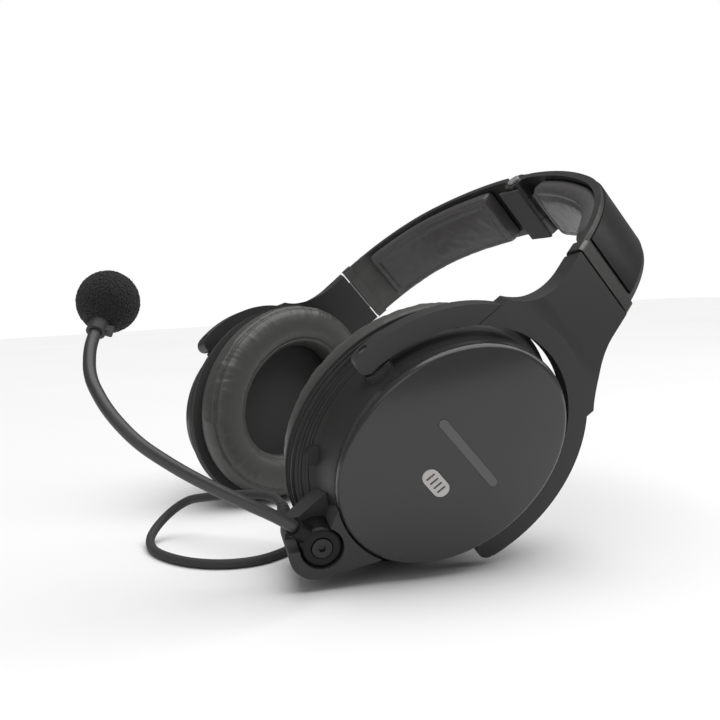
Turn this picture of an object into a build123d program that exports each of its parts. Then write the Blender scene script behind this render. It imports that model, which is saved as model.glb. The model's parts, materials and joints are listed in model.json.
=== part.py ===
from build123d import *
import os
from math import cos, pi, radians, sin, sqrt

os.makedirs("parts", exist_ok=True)

# Aviation headset, in millimetres. It lies on a table, leaning back on its two ear cups.
# "Worn" coordinates have X to the wearer's left, Y to the rear and Z to the crown, with the
# origin midway between the two ear cups. The finished parts stand in table coordinates.

# Driving dimensions -------------------------------------------------------------------------

LEAN = 50.0            # how far the headset leans back from upright, in degrees
TOE = 17.0             # how far each cup leans in at its lower rim, in degrees
PIVOT_X = 90.0         # from the middle to the pivot of a cup
ORIGIN_SHIFT_Y = -3.09  # brings the middle of the headset's length onto Y = 0

CUP_HIGH = 51.0        # half height of the ear cushion
CUP_LONG = 41.0        # half length of the ear cushion, front to rear
CUSHION_DROP = 4.0     # the cushion sits this much lower than the pivot
CUSHION_FACE = -37.0   # depths are measured outward from the pivot
CUSHION_BACK = -19.0
FLANGE_BACK = -15.0
SKIRT_BACK = -12.5
WAIST = -7.0
RIM = 8.0
WALL = 2.0
RIM_HIGH = 42.0        # half height and half length of the cup at its rim
RIM_LONG = 33.0
CAP_RISE = 10.0

ARM_HIGH = 49.5        # middle line of the yoke's arms
ARM_LONG = 40.5
ARM_WIDE = 7.0
ARM_DEEP = 7.0
PIN_R = 1.9
PIN_PLAY = 0.05

CROWN_Z = 138.0        # middle line of the headband at the crown
CROWN_R = 150.0
SHOULDER_R = 61.6
SHOULDER_AT = 24.0     # degrees from the crown where the shoulder arc begins
BAND_END_AT = 75.0
BAND_TAIL = 6.0
BAND_HALF_WIDE = 15.0
BAND_THICK = 3.0
SLIDE_TRAVEL = 20.0
RAIL_DEEP = SLIDE_TRAVEL + 4.0  # what stays in the pocket when it is pulled right out: 4 mm
NECK_THICK = 7.6
NECK_GAP = 1.0

BARREL_R = 5.0
BARREL_DROP = 2.5

POD_AT = (-2.0, -36.0)
KNUCKLE_AT = (-6.0, -51.2)
KNUCKLE_R = 6.8
BOOM_R = 2.0

# The frame of each piece --------------------------------------------------------------------

lean = radians(LEAN)
toe = radians(TOE)


def rim_depth_under(high, long, middle, depth):
    """How far an ellipse of the cup hangs below the pivot, once the headset leans back."""
    across = high * cos(toe) * cos(lean)
    along = long * sin(lean)
    return sqrt(across**2 + along**2) - (middle * cos(toe) - depth * sin(toe)) * cos(lean)


LIFT = rim_depth_under(CUP_HIGH + 0.5, CUP_LONG + 0.5, -CUSHION_DROP, CUSHION_BACK + 1.6)


def worn_dir(x, y, z):
    """A worn direction, turned to how the headset lies."""
    return Vector(x, y * cos(lean) + z * sin(lean), z * cos(lean) - y * sin(lean))


def worn(x, y, z):
    """A worn point, in table coordinates."""
    return worn_dir(x, y, z) + Vector(0, ORIGIN_SHIFT_Y, LIFT)


def cup_point(side, along, up, out):
    """A point of a cup: along to the rear, up its height and out from the pivot."""
    x = PIVOT_X + out * cos(toe) + up * sin(toe)
    return worn(side * x, along, up * cos(toe) - out * sin(toe))


def cup_plane(side):
    """The plane of a cup's pivot, looking out. Its X is rear on the left, front on the right."""
    out = worn_dir(side * cos(toe), 0, -sin(toe))
    return Plane(origin=worn(side * PIVOT_X, 0, 0), x_dir=worn_dir(0, side, 0), z_dir=out)


def band_plane(side):
    """The plane through the middle of the headband, with X outward and Y to the crown."""
    return Plane(origin=worn(0, 0, 0), x_dir=worn_dir(side, 0, 0), z_dir=worn_dir(0, -side, 0))


def outward(side):
    """The axis that a cup's pieces are sorted along, from the ear outward."""
    plane = cup_plane(side)
    return Axis(plane.origin, plane.z_dir)


def save(piece, label):
    """Labels a finished part and writes it."""
    piece.label = label
    export_step(piece, f"parts/{label}.step")


SIDES = {"left": 1, "right": -1}

# Ear cups -----------------------------------------------------------------------------------

OPENING_HIGH = 30.0     # the hole that the ear goes into, as half sizes
OPENING_LONG = 21.0
FLANGE_HOLE_HIGH = 39.0
FLANGE_HOLE_LONG = 31.0


def ear_cushion(side):
    """The soft ring round the ear, with rounded inner and outer rims."""
    plane = cup_plane(side)
    with BuildPart() as cushion:
        with BuildSketch(plane.offset(CUSHION_FACE)):
            with Locations((0, -CUSHION_DROP)):
                Ellipse(CUP_LONG, CUP_HIGH)
                Ellipse(OPENING_LONG, OPENING_HIGH, mode=Mode.SUBTRACT)
        extrude(amount=CUSHION_BACK - CUSHION_FACE - 0.1)
        face_rims = cushion.faces().sort_by(outward(side))[0].edges()
        fillet(face_rims, radius=7.0)
    return cushion.part


def stepped_ring(side, steps, hole_long, hole_high):
    """A stack of elliptical steps, each (depth, thickness, inset), with one hole through."""
    plane = cup_plane(side)
    with BuildPart() as ring:
        for depth, thick, inset in steps:
            with BuildSketch(plane.offset(depth)):
                with Locations((0, -CUSHION_DROP)):
                    Ellipse(CUP_LONG - inset, CUP_HIGH - inset)
                    Ellipse(hole_long, hole_high, mode=Mode.SUBTRACT)
            extrude(amount=thick)
    return ring.part


def cushion_flange(side):
    """The ring that the cushion snaps onto, with two grooves round its edge."""
    lip, groove, rib, foot = 1.6, 0.7, 0.9, 0.7
    steps = (
        (CUSHION_BACK, lip, -0.5),
        (CUSHION_BACK + lip, groove, 1.2),
        (CUSHION_BACK + lip + groove, rib, 0.4),
        (CUSHION_BACK + lip + groove + rib, foot, 1.6),
    )
    ring = stepped_ring(side, steps, FLANGE_HOLE_LONG, FLANGE_HOLE_HIGH)
    start = CUSHION_BACK - 1
    holes = [(SCREW_R + 0.3, start, 6), (SCREW_HEAD_R + 0.2, start, SCREW_HEAD_THICK + 1.2)]
    return drilled(side, ring, holes)


def cup_section(side, depth, long, high, drop):
    """An ellipse across the cup, at this depth."""
    with BuildSketch(cup_plane(side).offset(depth)) as section:
        with Locations((0, -drop)):
            Ellipse(long, high)
    return section.sketch


def housing_outside(side, grow=0.0):
    """The solid outside of a cup's shell, from its skirt through the waist to the rim."""
    skirt = (CUP_LONG - 1.6 + grow, CUP_HIGH - 1.6 + grow, CUSHION_DROP)
    waist = (RIM_LONG + 2.6 + grow, RIM_HIGH + 2.6 + grow, 1.5)
    rim = (RIM_LONG + grow, RIM_HIGH + grow, 0)
    with BuildPart() as body:
        add(cup_section(side, FLANGE_BACK, CUP_LONG - 0.8 + grow, CUP_HIGH - 0.8 + grow, CUSHION_DROP))
        extrude(amount=SKIRT_BACK - FLANGE_BACK, dir=cup_plane(side).z_dir)
        add(cup_section(side, SKIRT_BACK, *skirt))
        add(cup_section(side, WAIST, *waist))
        loft(ruled=True)
        add(cup_section(side, WAIST, *waist))
        add(cup_section(side, RIM, *rim))
        loft(ruled=True)
    return body.part


def crosswise(side):
    """The plane through a cup's pivot that its pins run square to."""
    plane = cup_plane(side)
    return Plane(origin=plane.origin, x_dir=plane.z_dir, z_dir=plane.x_dir)


def housing(side):
    """The cup's shell, with two pivot bosses and four screw bosses along its inner wall."""
    plane = cup_plane(side)
    with BuildPart() as shell:
        add(housing_outside(side))
        with BuildSketch(crosswise(side)):
            Circle(5.2)
        extrude(amount=ARM_LONG - ARM_WIDE / 2 - 0.6, both=True)
        add(cup_section(side, FLANGE_BACK, CUP_LONG - 6, CUP_HIGH - 6, CUSHION_DROP))
        add(cup_section(side, RIM, RIM_LONG - WALL, RIM_HIGH - WALL, 0))
        loft(ruled=True, mode=Mode.SUBTRACT)
        with BuildSketch(crosswise(side)):
            Circle(PIN_R + PIN_PLAY)
        extrude(amount=CUP_LONG, both=True, mode=Mode.SUBTRACT)
        with BuildSketch(plane.offset(BAFFLE_BACK + 0.1)):
            with Locations(screw_spots()):
                Circle(3.1)
        extrude(amount=8)
    return drilled(side, shell.part, [(SCREW_R + 0.05, FLANGE_BACK - 1, 9.6)])


VENT_AT = (0.0, -10.0)
VENT_LONG = 11.0
VENT_WIDE = 6.0
INLAY_AT = (0.0, 4.0)
INLAY_LONG = 30.0
INLAY_WIDE = 3.2
INLAY_DEEP = 0.8


def cap_blank(side, lift):
    """The solid outside of a cap, raised by lift: a turned dome drawn in to an ellipse."""
    brow = CAP_RISE - 5.6
    with BuildPart() as blank:
        with BuildSketch(Plane.XZ) as profile:
            with BuildLine():
                Line((0, 0), (RIM_HIGH, 0))
                Line((RIM_HIGH, 0), (RIM_HIGH, brow))
                ThreePointArc((RIM_HIGH, brow), (RIM_HIGH / 2, CAP_RISE - 1.4), (0, CAP_RISE))
                Line((0, CAP_RISE), (0, 0))
            make_face()
            fillet(profile.vertices().group_by(Axis.X)[-1].sort_by(Axis.Y)[-1], radius=2.6)
        revolve(axis=Axis.Z)
        scale(by=(RIM_LONG / RIM_HIGH, 1, 1))
    return cup_plane(side).offset(RIM + lift).location * blank.part


def slot_on_cap(side, spot, long, wide, low, lift):
    """A pill-shaped piece let into the cap, from depth low up to the dome raised by lift."""
    with BuildPart() as piece:
        with BuildSketch(cup_plane(side).offset(low)):
            with Locations(spot):
                SlotOverall(long, wide)
        extrude(amount=RIM + CAP_RISE + 4 - low)
        add(cap_blank(side, lift), mode=Mode.INTERSECT)
    return piece.part


def cap(side):
    """The domed cover of a cup, hollow, with a slot for its vent and a slim recess."""
    plane = cup_plane(side)
    with BuildPart() as cover:
        add(cap_blank(side, 0))
        with BuildSketch(plane.offset(RIM)):
            Ellipse(RIM_LONG - WALL, RIM_HIGH - WALL)
        extrude(amount=2.0, mode=Mode.SUBTRACT)
        with BuildSketch(plane.offset(RIM + 2.0)):
            Ellipse(RIM_LONG - 6, RIM_HIGH - 8)
        extrude(amount=4.0, mode=Mode.SUBTRACT)
        add(slot_on_cap(side, VENT_AT, VENT_LONG, VENT_WIDE, RIM, 2), mode=Mode.SUBTRACT)
        recess = slot_on_cap(side, INLAY_AT, INLAY_LONG, INLAY_WIDE, RIM + 6, 2)
        add(recess - cap_blank(side, -INLAY_DEEP), mode=Mode.SUBTRACT)
    return cover.part


def vent_grille(side):
    """The port's pale grille, with four slits across."""
    body = slot_on_cap(side, VENT_AT, VENT_LONG - 0.3, VENT_WIDE - 0.3, RIM + 6, 0.3)
    with BuildPart() as grille:
        add(body)
        with BuildSketch(cup_plane(side).offset(RIM)):
            with Locations(VENT_AT):
                with GridLocations(1.9, 1, 4, 1):
                    SlotOverall(3.4, 0.7, rotation=90)
        extrude(amount=CAP_RISE + 3, mode=Mode.SUBTRACT)
    return grille.part


def inlay(side):
    """The plain bar let into the cap."""
    bar = slot_on_cap(side, INLAY_AT, INLAY_LONG - 0.2, INLAY_WIDE - 0.2, RIM + 6, 0.2)
    return bar - cap_blank(side, -INLAY_DEEP)


# Inside the cups ----------------------------------------------------------------------------

SCREW_ALONG = 24.2
SCREW_UP = 30.5
SCREW_R = 1.05
SCREW_HEAD_R = 2.3
SCREW_HEAD_THICK = 1.3
DRIVER_R = 20.0
DRIVER_PORT_R = 16.0
BAFFLE_THICK = 1.6
BAFFLE_BACK = FLANGE_BACK + BAFFLE_THICK


def screw_spots():
    """The four places of a cup's screws."""
    return [(x * SCREW_ALONG, y * SCREW_UP - CUSHION_DROP) for x in (-1, 1) for y in (-1, 1)]


def drilled(side, piece, holes):
    """A piece of a cup with its screw holes; each hole is (radius, from depth, length)."""
    with BuildPart() as result:
        add(piece)
        for radius, start, length in holes:
            with BuildSketch(cup_plane(side).offset(start)):
                with Locations(screw_spots()):
                    Circle(radius)
            extrude(amount=length, mode=Mode.SUBTRACT)
    return result.part


def flange_screws(side):
    """Four pan-head screws that hold the flange and the baffle to the housing."""
    with BuildPart() as screws:
        with BuildSketch(cup_plane(side).offset(CUSHION_BACK + 0.05)):
            with Locations(screw_spots()):
                Circle(SCREW_HEAD_R)
        extrude(amount=SCREW_HEAD_THICK)
        with BuildSketch(cup_plane(side).offset(CUSHION_BACK + 0.05)):
            with Locations(screw_spots()):
                Circle(SCREW_R)
        extrude(amount=11)
    return screws.part


def baffle(side):
    """The plate across the cup that carries the driver, with a ring of sound holes."""
    with BuildPart() as plate:
        with BuildSketch(cup_plane(side).offset(FLANGE_BACK)):
            with Locations((0, -CUSHION_DROP)):
                Ellipse(CUP_LONG - 7.5, CUP_HIGH - 7.5)
            with Locations((0, -CUSHION_DROP)):
                Circle(1.5, mode=Mode.SUBTRACT)
                with PolarLocations(5.5, 6):
                    Circle(1.5, mode=Mode.SUBTRACT)
                with PolarLocations(11.0, 12):
                    Circle(1.5, mode=Mode.SUBTRACT)
        extrude(amount=BAFFLE_THICK)
    return drilled(side, plate.part, [(SCREW_R + 0.3, FLANGE_BACK - 1, 5)])


def scrim(side):
    """The cloth screen in front of the baffle."""
    with BuildPart() as cloth:
        with BuildSketch(cup_plane(side).offset(CUSHION_BACK + 1.0)):
            with Locations((0, -CUSHION_DROP)):
                Ellipse(FLANGE_HOLE_LONG - 0.4, FLANGE_HOLE_HIGH - 0.4)
        extrude(amount=0.8)
    return cloth.part


def driver(side):
    """The driver's basket and, behind it, its magnet."""
    plane = cup_plane(side)
    with BuildPart() as speaker:
        with BuildSketch(plane.offset(BAFFLE_BACK)):
            with Locations((0, -CUSHION_DROP)):
                Circle(DRIVER_R)
                Circle(DRIVER_PORT_R, mode=Mode.SUBTRACT)
        extrude(amount=4.5)
        with BuildSketch(plane.offset(BAFFLE_BACK + 4.5)):
            with Locations((0, -CUSHION_DROP)):
                Circle(DRIVER_R)
        extrude(amount=1.5)
        with BuildSketch(plane.offset(BAFFLE_BACK + 6.0)):
            with Locations((0, -CUSHION_DROP)):
                Circle(11.0)
        extrude(amount=5.5)
    return speaker.part


def driver_cone(side):
    """The thin cone inside the basket."""
    plane = cup_plane(side)
    with BuildPart() as cone:
        with BuildSketch(plane.offset(BAFFLE_BACK + 1.0)):
            with Locations((0, -CUSHION_DROP)):
                Circle(DRIVER_PORT_R - 0.3)
        with BuildSketch(plane.offset(BAFFLE_BACK + 3.8)):
            with Locations((0, -CUSHION_DROP)):
                Circle(5.0)
        loft(ruled=True)
        with BuildSketch(plane.offset(BAFFLE_BACK + 0.9)):
            with Locations((0, -CUSHION_DROP)):
                Circle(DRIVER_PORT_R - 2.0)
        with BuildSketch(plane.offset(BAFFLE_BACK + 3.2)):
            with Locations((0, -CUSHION_DROP)):
                Circle(4.0)
        loft(ruled=True, mode=Mode.SUBTRACT)
    return cone.part


BOARD_AT = 0.5


def anr_board(side):
    """The circuit board that cancels noise, with its two chips."""
    plane = cup_plane(side)
    with BuildPart() as board:
        with BuildSketch(plane.offset(BOARD_AT)):
            RectangleRounded(38, 46, 4)
        extrude(amount=1.2)
        with BuildSketch(plane.offset(BOARD_AT + 1.2)):
            with Locations((-8, 8), (7, -9)):
                Rectangle(9, 9)
        extrude(amount=1.4)
    return board.part


# Yokes --------------------------------------------------------------------------------------

shoulder = radians(SHOULDER_AT)
band_end = radians(BAND_END_AT)
slide_lean = pi / 2 - band_end
CROWN_MIDDLE = Vector(0, CROWN_Z - CROWN_R)
SHOULDER_MIDDLE = CROWN_MIDDLE + Vector(sin(shoulder), cos(shoulder)) * (CROWN_R - SHOULDER_R)
TAIL_START = SHOULDER_MIDDLE + Vector(sin(band_end), cos(band_end)) * SHOULDER_R
DOWN_SLIDE = Vector(sin(slide_lean), -cos(slide_lean))
BAND_END = TAIL_START + DOWN_SLIDE * BAND_TAIL


def slide_plane(side):
    """The plane at the headband's end that its rail stands on, looking down the slide."""
    down = worn_dir(side * DOWN_SLIDE.X, 0, DOWN_SLIDE.Y)
    return Plane(
        origin=worn(side * BAND_END.X, 0, BAND_END.Y), x_dir=worn_dir(0, side, 0), z_dir=down
    )


def arch_point(up):
    """A point in the plane of the headband, at this height up the cup's own axis."""
    return Vector(PIVOT_X + up * sin(toe), up * cos(toe))


def neck_corner():
    """Where the line of the slide meets the plane of the arms."""
    foot = arch_point(0) - BAND_END
    rise = Vector(sin(toe), cos(toe))
    along = (foot.X * rise.Y - foot.Y * rise.X) / (DOWN_SLIDE.X * rise.Y - DOWN_SLIDE.Y * rise.X)
    return BAND_END + DOWN_SLIDE * along


POCKET_WIDE = 17.6
POCKET_THICK = 2.2
ARM_FRONT_END = -2.0   # how far the arms reach below the pivot
ARM_REAR_END = -12.0


def yoke(side):
    """A yoke: two arms over the cup, and a neck with a pocket that the band's rail slides in."""
    plane = cup_plane(side)
    with BuildPart() as fork:
        with BuildSketch(band_plane(side)):
            with BuildLine():
                FilletPolyline(
                    arch_point(34), neck_corner(), BAND_END + DOWN_SLIDE * NECK_GAP, radius=14
                )
            trace(line_width=NECK_THICK)
        extrude(amount=26, both=True)
        with BuildSketch(plane.offset(-40)):
            with BuildLine():
                Line((-15, 90), (15, 90))
                Line((15, 90), (14.4, 68))
                ThreePointArc((14.4, 68), (17.5, 55.5), (25.5, 46))
                Line((25.5, 46), (25.5, 30))
                Line((25.5, 30), (-25.5, 30))
                Line((-25.5, 30), (-25.5, 46))
                ThreePointArc((-25.5, 46), (-17.5, 55.5), (-14.4, 68))
                Line((-14.4, 68), (-15, 90))
            make_face()
        extrude(amount=60, mode=Mode.INTERSECT)
        with BuildSketch(plane.offset(-ARM_DEEP)):
            Ellipse(ARM_LONG - ARM_WIDE / 2, ARM_HIGH - ARM_WIDE / 2)
        extrude(amount=2 * ARM_DEEP, mode=Mode.SUBTRACT)
        with BuildSketch(plane.offset(-ARM_DEEP / 2)):
            Ellipse(ARM_LONG + ARM_WIDE / 2, ARM_HIGH + ARM_WIDE / 2)
            Ellipse(ARM_LONG - ARM_WIDE / 2, ARM_HIGH - ARM_WIDE / 2, mode=Mode.SUBTRACT)
            for way, end in ((side, ARM_REAR_END), (-side, ARM_FRONT_END)):
                with Locations((way * CUP_HIGH, end)):
                    Rectangle(
                        2 * CUP_HIGH, 2 * CUP_HIGH, align=(Align.CENTER, Align.MAX), mode=Mode.SUBTRACT
                    )
                across = ARM_LONG * sqrt(1 - (end / ARM_HIGH) ** 2) - 0.2
                with Locations((way * across, end)):
                    Circle(ARM_WIDE / 2)
        extrude(amount=ARM_DEEP)
        with BuildSketch(slide_plane(side)):
            Rectangle(POCKET_WIDE, POCKET_THICK)
        extrude(amount=RAIL_DEEP + NECK_GAP + 1, mode=Mode.SUBTRACT)
        with BuildSketch(crosswise(side)):
            Circle(PIN_R + PIN_PLAY)
        extrude(amount=CUP_HIGH, both=True, mode=Mode.SUBTRACT)
    return fork.part


def pivot_pins(side):
    """The two pins through the ends of the arms, on which the cup tilts."""
    with BuildPart() as pins:
        with BuildSketch(crosswise(side).offset(RIM_LONG - 2.5)):
            Circle(PIN_R)
        extrude(amount=ARM_LONG + 2.7 - RIM_LONG + 2.5)
        mirror(about=crosswise(side))
    return pins.part


# Headband -----------------------------------------------------------------------------------

FRAME_STARTS_AT = 3.2
COVER_STARTS_AT = 6.0
COVER_ENDS_AT = 72.5
PAD_STARTS_AT = 7.5
PAD_ENDS_AT = 66.0
PAD_THICK = 9.0
COVER_FLOOR = 0.5
COVER_TOP = 2.1
COLLAR_LONG = 5.0


def strip(side, low, high, half_wide, start, stop, tail=0.0):
    """A strip of the headband, between two heights over its middle line."""
    lift = (low + high) / 2
    with BuildPart() as piece:
        with BuildSketch(band_plane(side)):
            with BuildLine():
                crown_end = min(stop, SHOULDER_AT)
                CenterArc(CROWN_MIDDLE, CROWN_R + lift, 90 - start, start - crown_end)
                CenterArc(SHOULDER_MIDDLE, SHOULDER_R + lift, 90 - SHOULDER_AT, SHOULDER_AT - stop)
                if tail:
                    outer = Vector(DOWN_SLIDE.Y, -DOWN_SLIDE.X) * -lift
                    Line(TAIL_START + outer, TAIL_START + outer + DOWN_SLIDE * tail)
            trace(line_width=high - low)
        extrude(amount=half_wide, both=True)
    return piece.part


def hinge_axis_plane():
    """The plane across the crown hinge, at the middle of its barrel."""
    middle = worn(0, 0, CROWN_Z - BARREL_DROP)
    return Plane(origin=middle, x_dir=worn_dir(1, 0, 0), z_dir=worn_dir(0, -1, 0))


def barrel(radius, start, stop, middle_plane):
    """A round length of the crown hinge, from start to stop along its axis."""
    with BuildPart() as piece:
        with BuildSketch(middle_plane.offset(start)):
            Circle(radius)
        extrude(amount=stop - start)
    return piece.part


KNUCKLE_SPLIT = 5.8
KNUCKLE_PLAY = 0.3
HINGE_PIN_R = 1.6
SPRING_ROOM_R = 4.0
SPRING_ROOM_HALF = 4.2


def knuckle_spans(side):
    """The lengths of barrel that belong to a half of the headband."""
    edge = BAND_HALF_WIDE - 0.2
    if side > 0:
        return [(-edge, -KNUCKLE_SPLIT - KNUCKLE_PLAY), (KNUCKLE_SPLIT + KNUCKLE_PLAY, edge)]
    return [(-KNUCKLE_SPLIT, KNUCKLE_SPLIT)]


def band_frame(side):
    """A half of the headband: the strip, its recess for the cover, and its hinge knuckles."""
    hinge = hinge_axis_plane()
    with BuildPart() as frame:
        half = BAND_THICK / 2
        add(strip(side, -half, half, BAND_HALF_WIDE, FRAME_STARTS_AT, BAND_END_AT, BAND_TAIL))
        add(
            strip(side, COVER_FLOOR, half + 1, BAND_HALF_WIDE - 2, COVER_STARTS_AT, COVER_ENDS_AT),
            mode=Mode.SUBTRACT,
        )
        for start, stop in knuckle_spans(side):
            add(barrel(BARREL_R, start, stop, hinge))
            with BuildSketch(hinge.offset(start)):
                with BuildLine():
                    Polyline(
                        (0, 0), (side * 9.5, 0.9), (side * 9.5, 3.7), (0, BARREL_R - 0.4), (0, 0)
                    )
                make_face()
            extrude(amount=stop - start)
        add(barrel(HINGE_PIN_R + PIN_PLAY, -20, 20, hinge), mode=Mode.SUBTRACT)
        if side < 0:
            room = barrel(SPRING_ROOM_R, -SPRING_ROOM_HALF, SPRING_ROOM_HALF, hinge)
            add(room, mode=Mode.SUBTRACT)
        with BuildSketch(slide_plane(side)):
            Rectangle(POCKET_WIDE, 1.9)
        extrude(amount=-BAND_TAIL + 1.4, mode=Mode.SUBTRACT)
    return frame.part


def band_cover(side):
    """The black outer cover, set in the frame's recess and a little proud of it."""
    start, stop = COVER_STARTS_AT + 0.2, COVER_ENDS_AT - 0.2
    return strip(side, COVER_FLOOR, COVER_TOP, BAND_HALF_WIDE - 2.15, start, stop)


def band_pad(side):
    """The soft pad inside the headband."""
    low = -BAND_THICK / 2 - PAD_THICK
    with BuildPart() as pad:
        high = -BAND_THICK / 2 - 0.1
        add(strip(side, low, high, BAND_HALF_WIDE - 1.2, PAD_STARTS_AT, PAD_ENDS_AT))
        inner_radii = (CROWN_R + low, SHOULDER_R + low)
        rims = pad.edges().filter_by(GeomType.CIRCLE)
        inner_rims = [rim for rim in rims if min(abs(rim.radius - r) for r in inner_radii) < 0.01]
        fillet(inner_rims, radius=3.0)
    return pad.part


def band_collar(side):
    """The pale sleeve round the end of the headband, just above the yoke's neck."""
    with BuildPart() as collar:
        with BuildSketch(slide_plane(side)):
            RectangleRounded(2 * BAND_HALF_WIDE + 0.8, NECK_THICK - 0.2, 1.6)
        extrude(amount=-COLLAR_LONG)
        with BuildSketch(slide_plane(side)):
            Rectangle(2 * BAND_HALF_WIDE + 0.1, BAND_THICK + 0.1)
        extrude(amount=-COLLAR_LONG, mode=Mode.SUBTRACT)
    return collar.part


def slide_rail(side):
    """The steel rail fixed in the band's end, that slides in the neck's pocket."""
    with BuildPart() as rail:
        with BuildSketch(slide_plane(side).offset(-BAND_TAIL + 1.5)):
            Rectangle(POCKET_WIDE - 0.4, 1.8)
        extrude(amount=BAND_TAIL - 1.5 + RAIL_DEEP)
    return rail.part


def hinge_pin():
    """The pin of the crown hinge, with a flat head at the front."""
    hinge = hinge_axis_plane()
    with BuildPart() as pin:
        add(barrel(HINGE_PIN_R, -BAND_HALF_WIDE, BAND_HALF_WIDE, hinge))
        add(barrel(2.8, BAND_HALF_WIDE, BAND_HALF_WIDE + 0.9, hinge))
    return pin.part


SPRING_R = 2.9
SPRING_WIRE_R = 0.45
SPRING_PITCH = 1.3


def hinge_spring():
    """The coil spring round the pin, that draws the two halves together."""
    hinge = hinge_axis_plane()
    high = 2 * (SPRING_ROOM_HALF - 0.8)
    with BuildPart() as spring:
        start = hinge.origin - hinge.z_dir * (high / 2)
        with BuildLine() as turns:
            Helix(SPRING_PITCH, high, SPRING_R, center=start, direction=hinge.z_dir)
        with BuildSketch(Plane(origin=turns.line @ 0, z_dir=turns.line % 0)):
            Circle(SPRING_WIRE_R)
        sweep()
    return spring.part


def hinge_cover():
    """The small plate under the crown hinge, between the two pads."""
    hinge = hinge_axis_plane()
    with BuildPart() as cover:
        with BuildSketch(hinge.offset(-BAND_HALF_WIDE + 1.5)):
            with Locations((1.0, -BARREL_R - 1.0)):
                RectangleRounded(15.0, 1.4, 0.6)
        extrude(amount=2 * BAND_HALF_WIDE - 3)
    return cover.part


# Microphone and its boom --------------------------------------------------------------------

POD_R = 13.5
POD_NOSE_R = 9.0
POD_NOSE_AT = (-6.0, -53.5)
POD_DEEP = (-8.0, 12.5)
KNUCKLE_DEEP = (2.0, 12.0)
SCREW_PIVOT_R = 1.8
BOOM_POINTS = [
    (82.65, -9.97, -52.0),
    (86, -24, -55.5),
    (88.5, -41, -61.5),
    (87, -57, -66.5),
    (82, -72, -69.5),
    (75, -84, -68.5),
    (66, -93.5, -64.5),
    (58, -99, -57),
    (52, -101.5, -49),
]
FOAM_R = 10.2
MIC_REACH = 9.5


def open_radii(points, share=0.45):
    """The largest arc at each corner of a route: a share of its shorter run, by the turn."""
    radii = []
    for before, here, after in zip(points, points[1:], points[2:]):
        coming = Vector(here) - Vector(before)
        going = Vector(after) - Vector(here)
        half_turn = radians(coming.get_angle(going)) / 2
        radii.append(share * min(coming.length, going.length) * cos(half_turn) / sin(half_turn))
    return radii


def tube(points, radius):
    """A round tube along straight runs joined by tangent arcs."""
    with BuildPart() as pipe:
        with BuildLine() as route:
            FilletPolyline(points, radius=open_radii(points))
        with BuildSketch(Plane(origin=route.line @ 0, z_dir=route.line % 0)):
            Circle(radius)
        sweep()
    return pipe.part


def cup_prism(spot, radius, low, high):
    """A round length square to the left cup, between two depths."""
    with BuildPart() as piece:
        with BuildSketch(cup_plane(1).offset(low)):
            with Locations(spot):
                Circle(radius)
        extrude(amount=high - low)
    return piece.part


def boom_sweep():
    """The room that the boom's root needs beside the knuckle as it swings."""
    middle = Vector(KNUCKLE_AT)
    reach = 30.0
    corners = [middle + Vector(-reach * cos(a), reach * sin(a)) for a in (radians(-54), radians(62))]
    with BuildPart() as room:
        with BuildSketch(cup_plane(1).offset(KNUCKLE_DEEP[0] - 0.3)):
            with BuildLine():
                Polyline(middle, corners[0], (middle.X - reach, middle.Y), corners[1], middle)
            make_face()
        extrude(amount=20)
    return room.part


def mic_pod():
    """The pod under the left cup, with a round pocket for the boom's knuckle."""
    low, high = POD_DEEP
    with BuildPart() as pod:
        with BuildSketch(cup_plane(1).offset(low)):
            with Locations(POD_AT):
                Circle(POD_R)
            with Locations(POD_NOSE_AT):
                Circle(POD_NOSE_R)
            make_hull()
        extrude(amount=high - low)
        add(housing_outside(1, 0.15), mode=Mode.SUBTRACT)
        with BuildSketch(cup_plane(1).offset(RIM - 0.2)):
            Ellipse(RIM_LONG + 0.15, RIM_HIGH + 0.15)
        extrude(amount=high, mode=Mode.SUBTRACT)
        add(cup_prism(KNUCKLE_AT, KNUCKLE_R + 0.4, KNUCKLE_DEEP[0] - 0.3, high + 1), mode=Mode.SUBTRACT)
        add(boom_sweep(), mode=Mode.SUBTRACT)
        add(cup_prism(KNUCKLE_AT, SCREW_PIVOT_R, low - 1, high), mode=Mode.SUBTRACT)
    return pod.part


def boom_knuckle():
    """The round root of the boom, with a socket for its tube and a bore for the pivot screw."""
    start = worn(*BOOM_POINTS[0])
    along = (worn(*BOOM_POINTS[1]) - start).normalized()
    with BuildPart() as knuckle:
        add(cup_prism(KNUCKLE_AT, KNUCKLE_R, *KNUCKLE_DEEP))
        rims = knuckle.faces().sort_by(outward(1))[-1].edges()
        fillet(rims, radius=1.6)
        with BuildSketch(Plane(origin=start, z_dir=along)):
            Circle(3.3)
        extrude(amount=8.0)
        with BuildSketch(Plane(origin=start, z_dir=along)):
            Circle(BOOM_R)
        extrude(amount=12.0, mode=Mode.SUBTRACT)
        add(cup_prism(KNUCKLE_AT, SCREW_PIVOT_R + PIN_PLAY, 0, 14), mode=Mode.SUBTRACT)
        add(cup_prism(KNUCKLE_AT, 3.6, KNUCKLE_DEEP[1] - 1.4, 14), mode=Mode.SUBTRACT)
    return knuckle.part


def boom_pivot_screw():
    """The screw that the knuckle turns on, held in the pod."""
    with BuildPart() as screw:
        add(cup_prism(KNUCKLE_AT, SCREW_PIVOT_R, POD_DEEP[0] + 1, KNUCKLE_DEEP[1] - 1.1))
        add(cup_prism(KNUCKLE_AT, 3.3, KNUCKLE_DEEP[1] - 1.1, KNUCKLE_DEEP[1] + 0.3))
        with BuildSketch(cup_plane(1).offset(KNUCKLE_DEEP[1] + 0.3)):
            with Locations(KNUCKLE_AT):
                RegularPolygon(1.3, 6)
        extrude(amount=-1.0, mode=Mode.SUBTRACT)
    return screw.part


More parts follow.
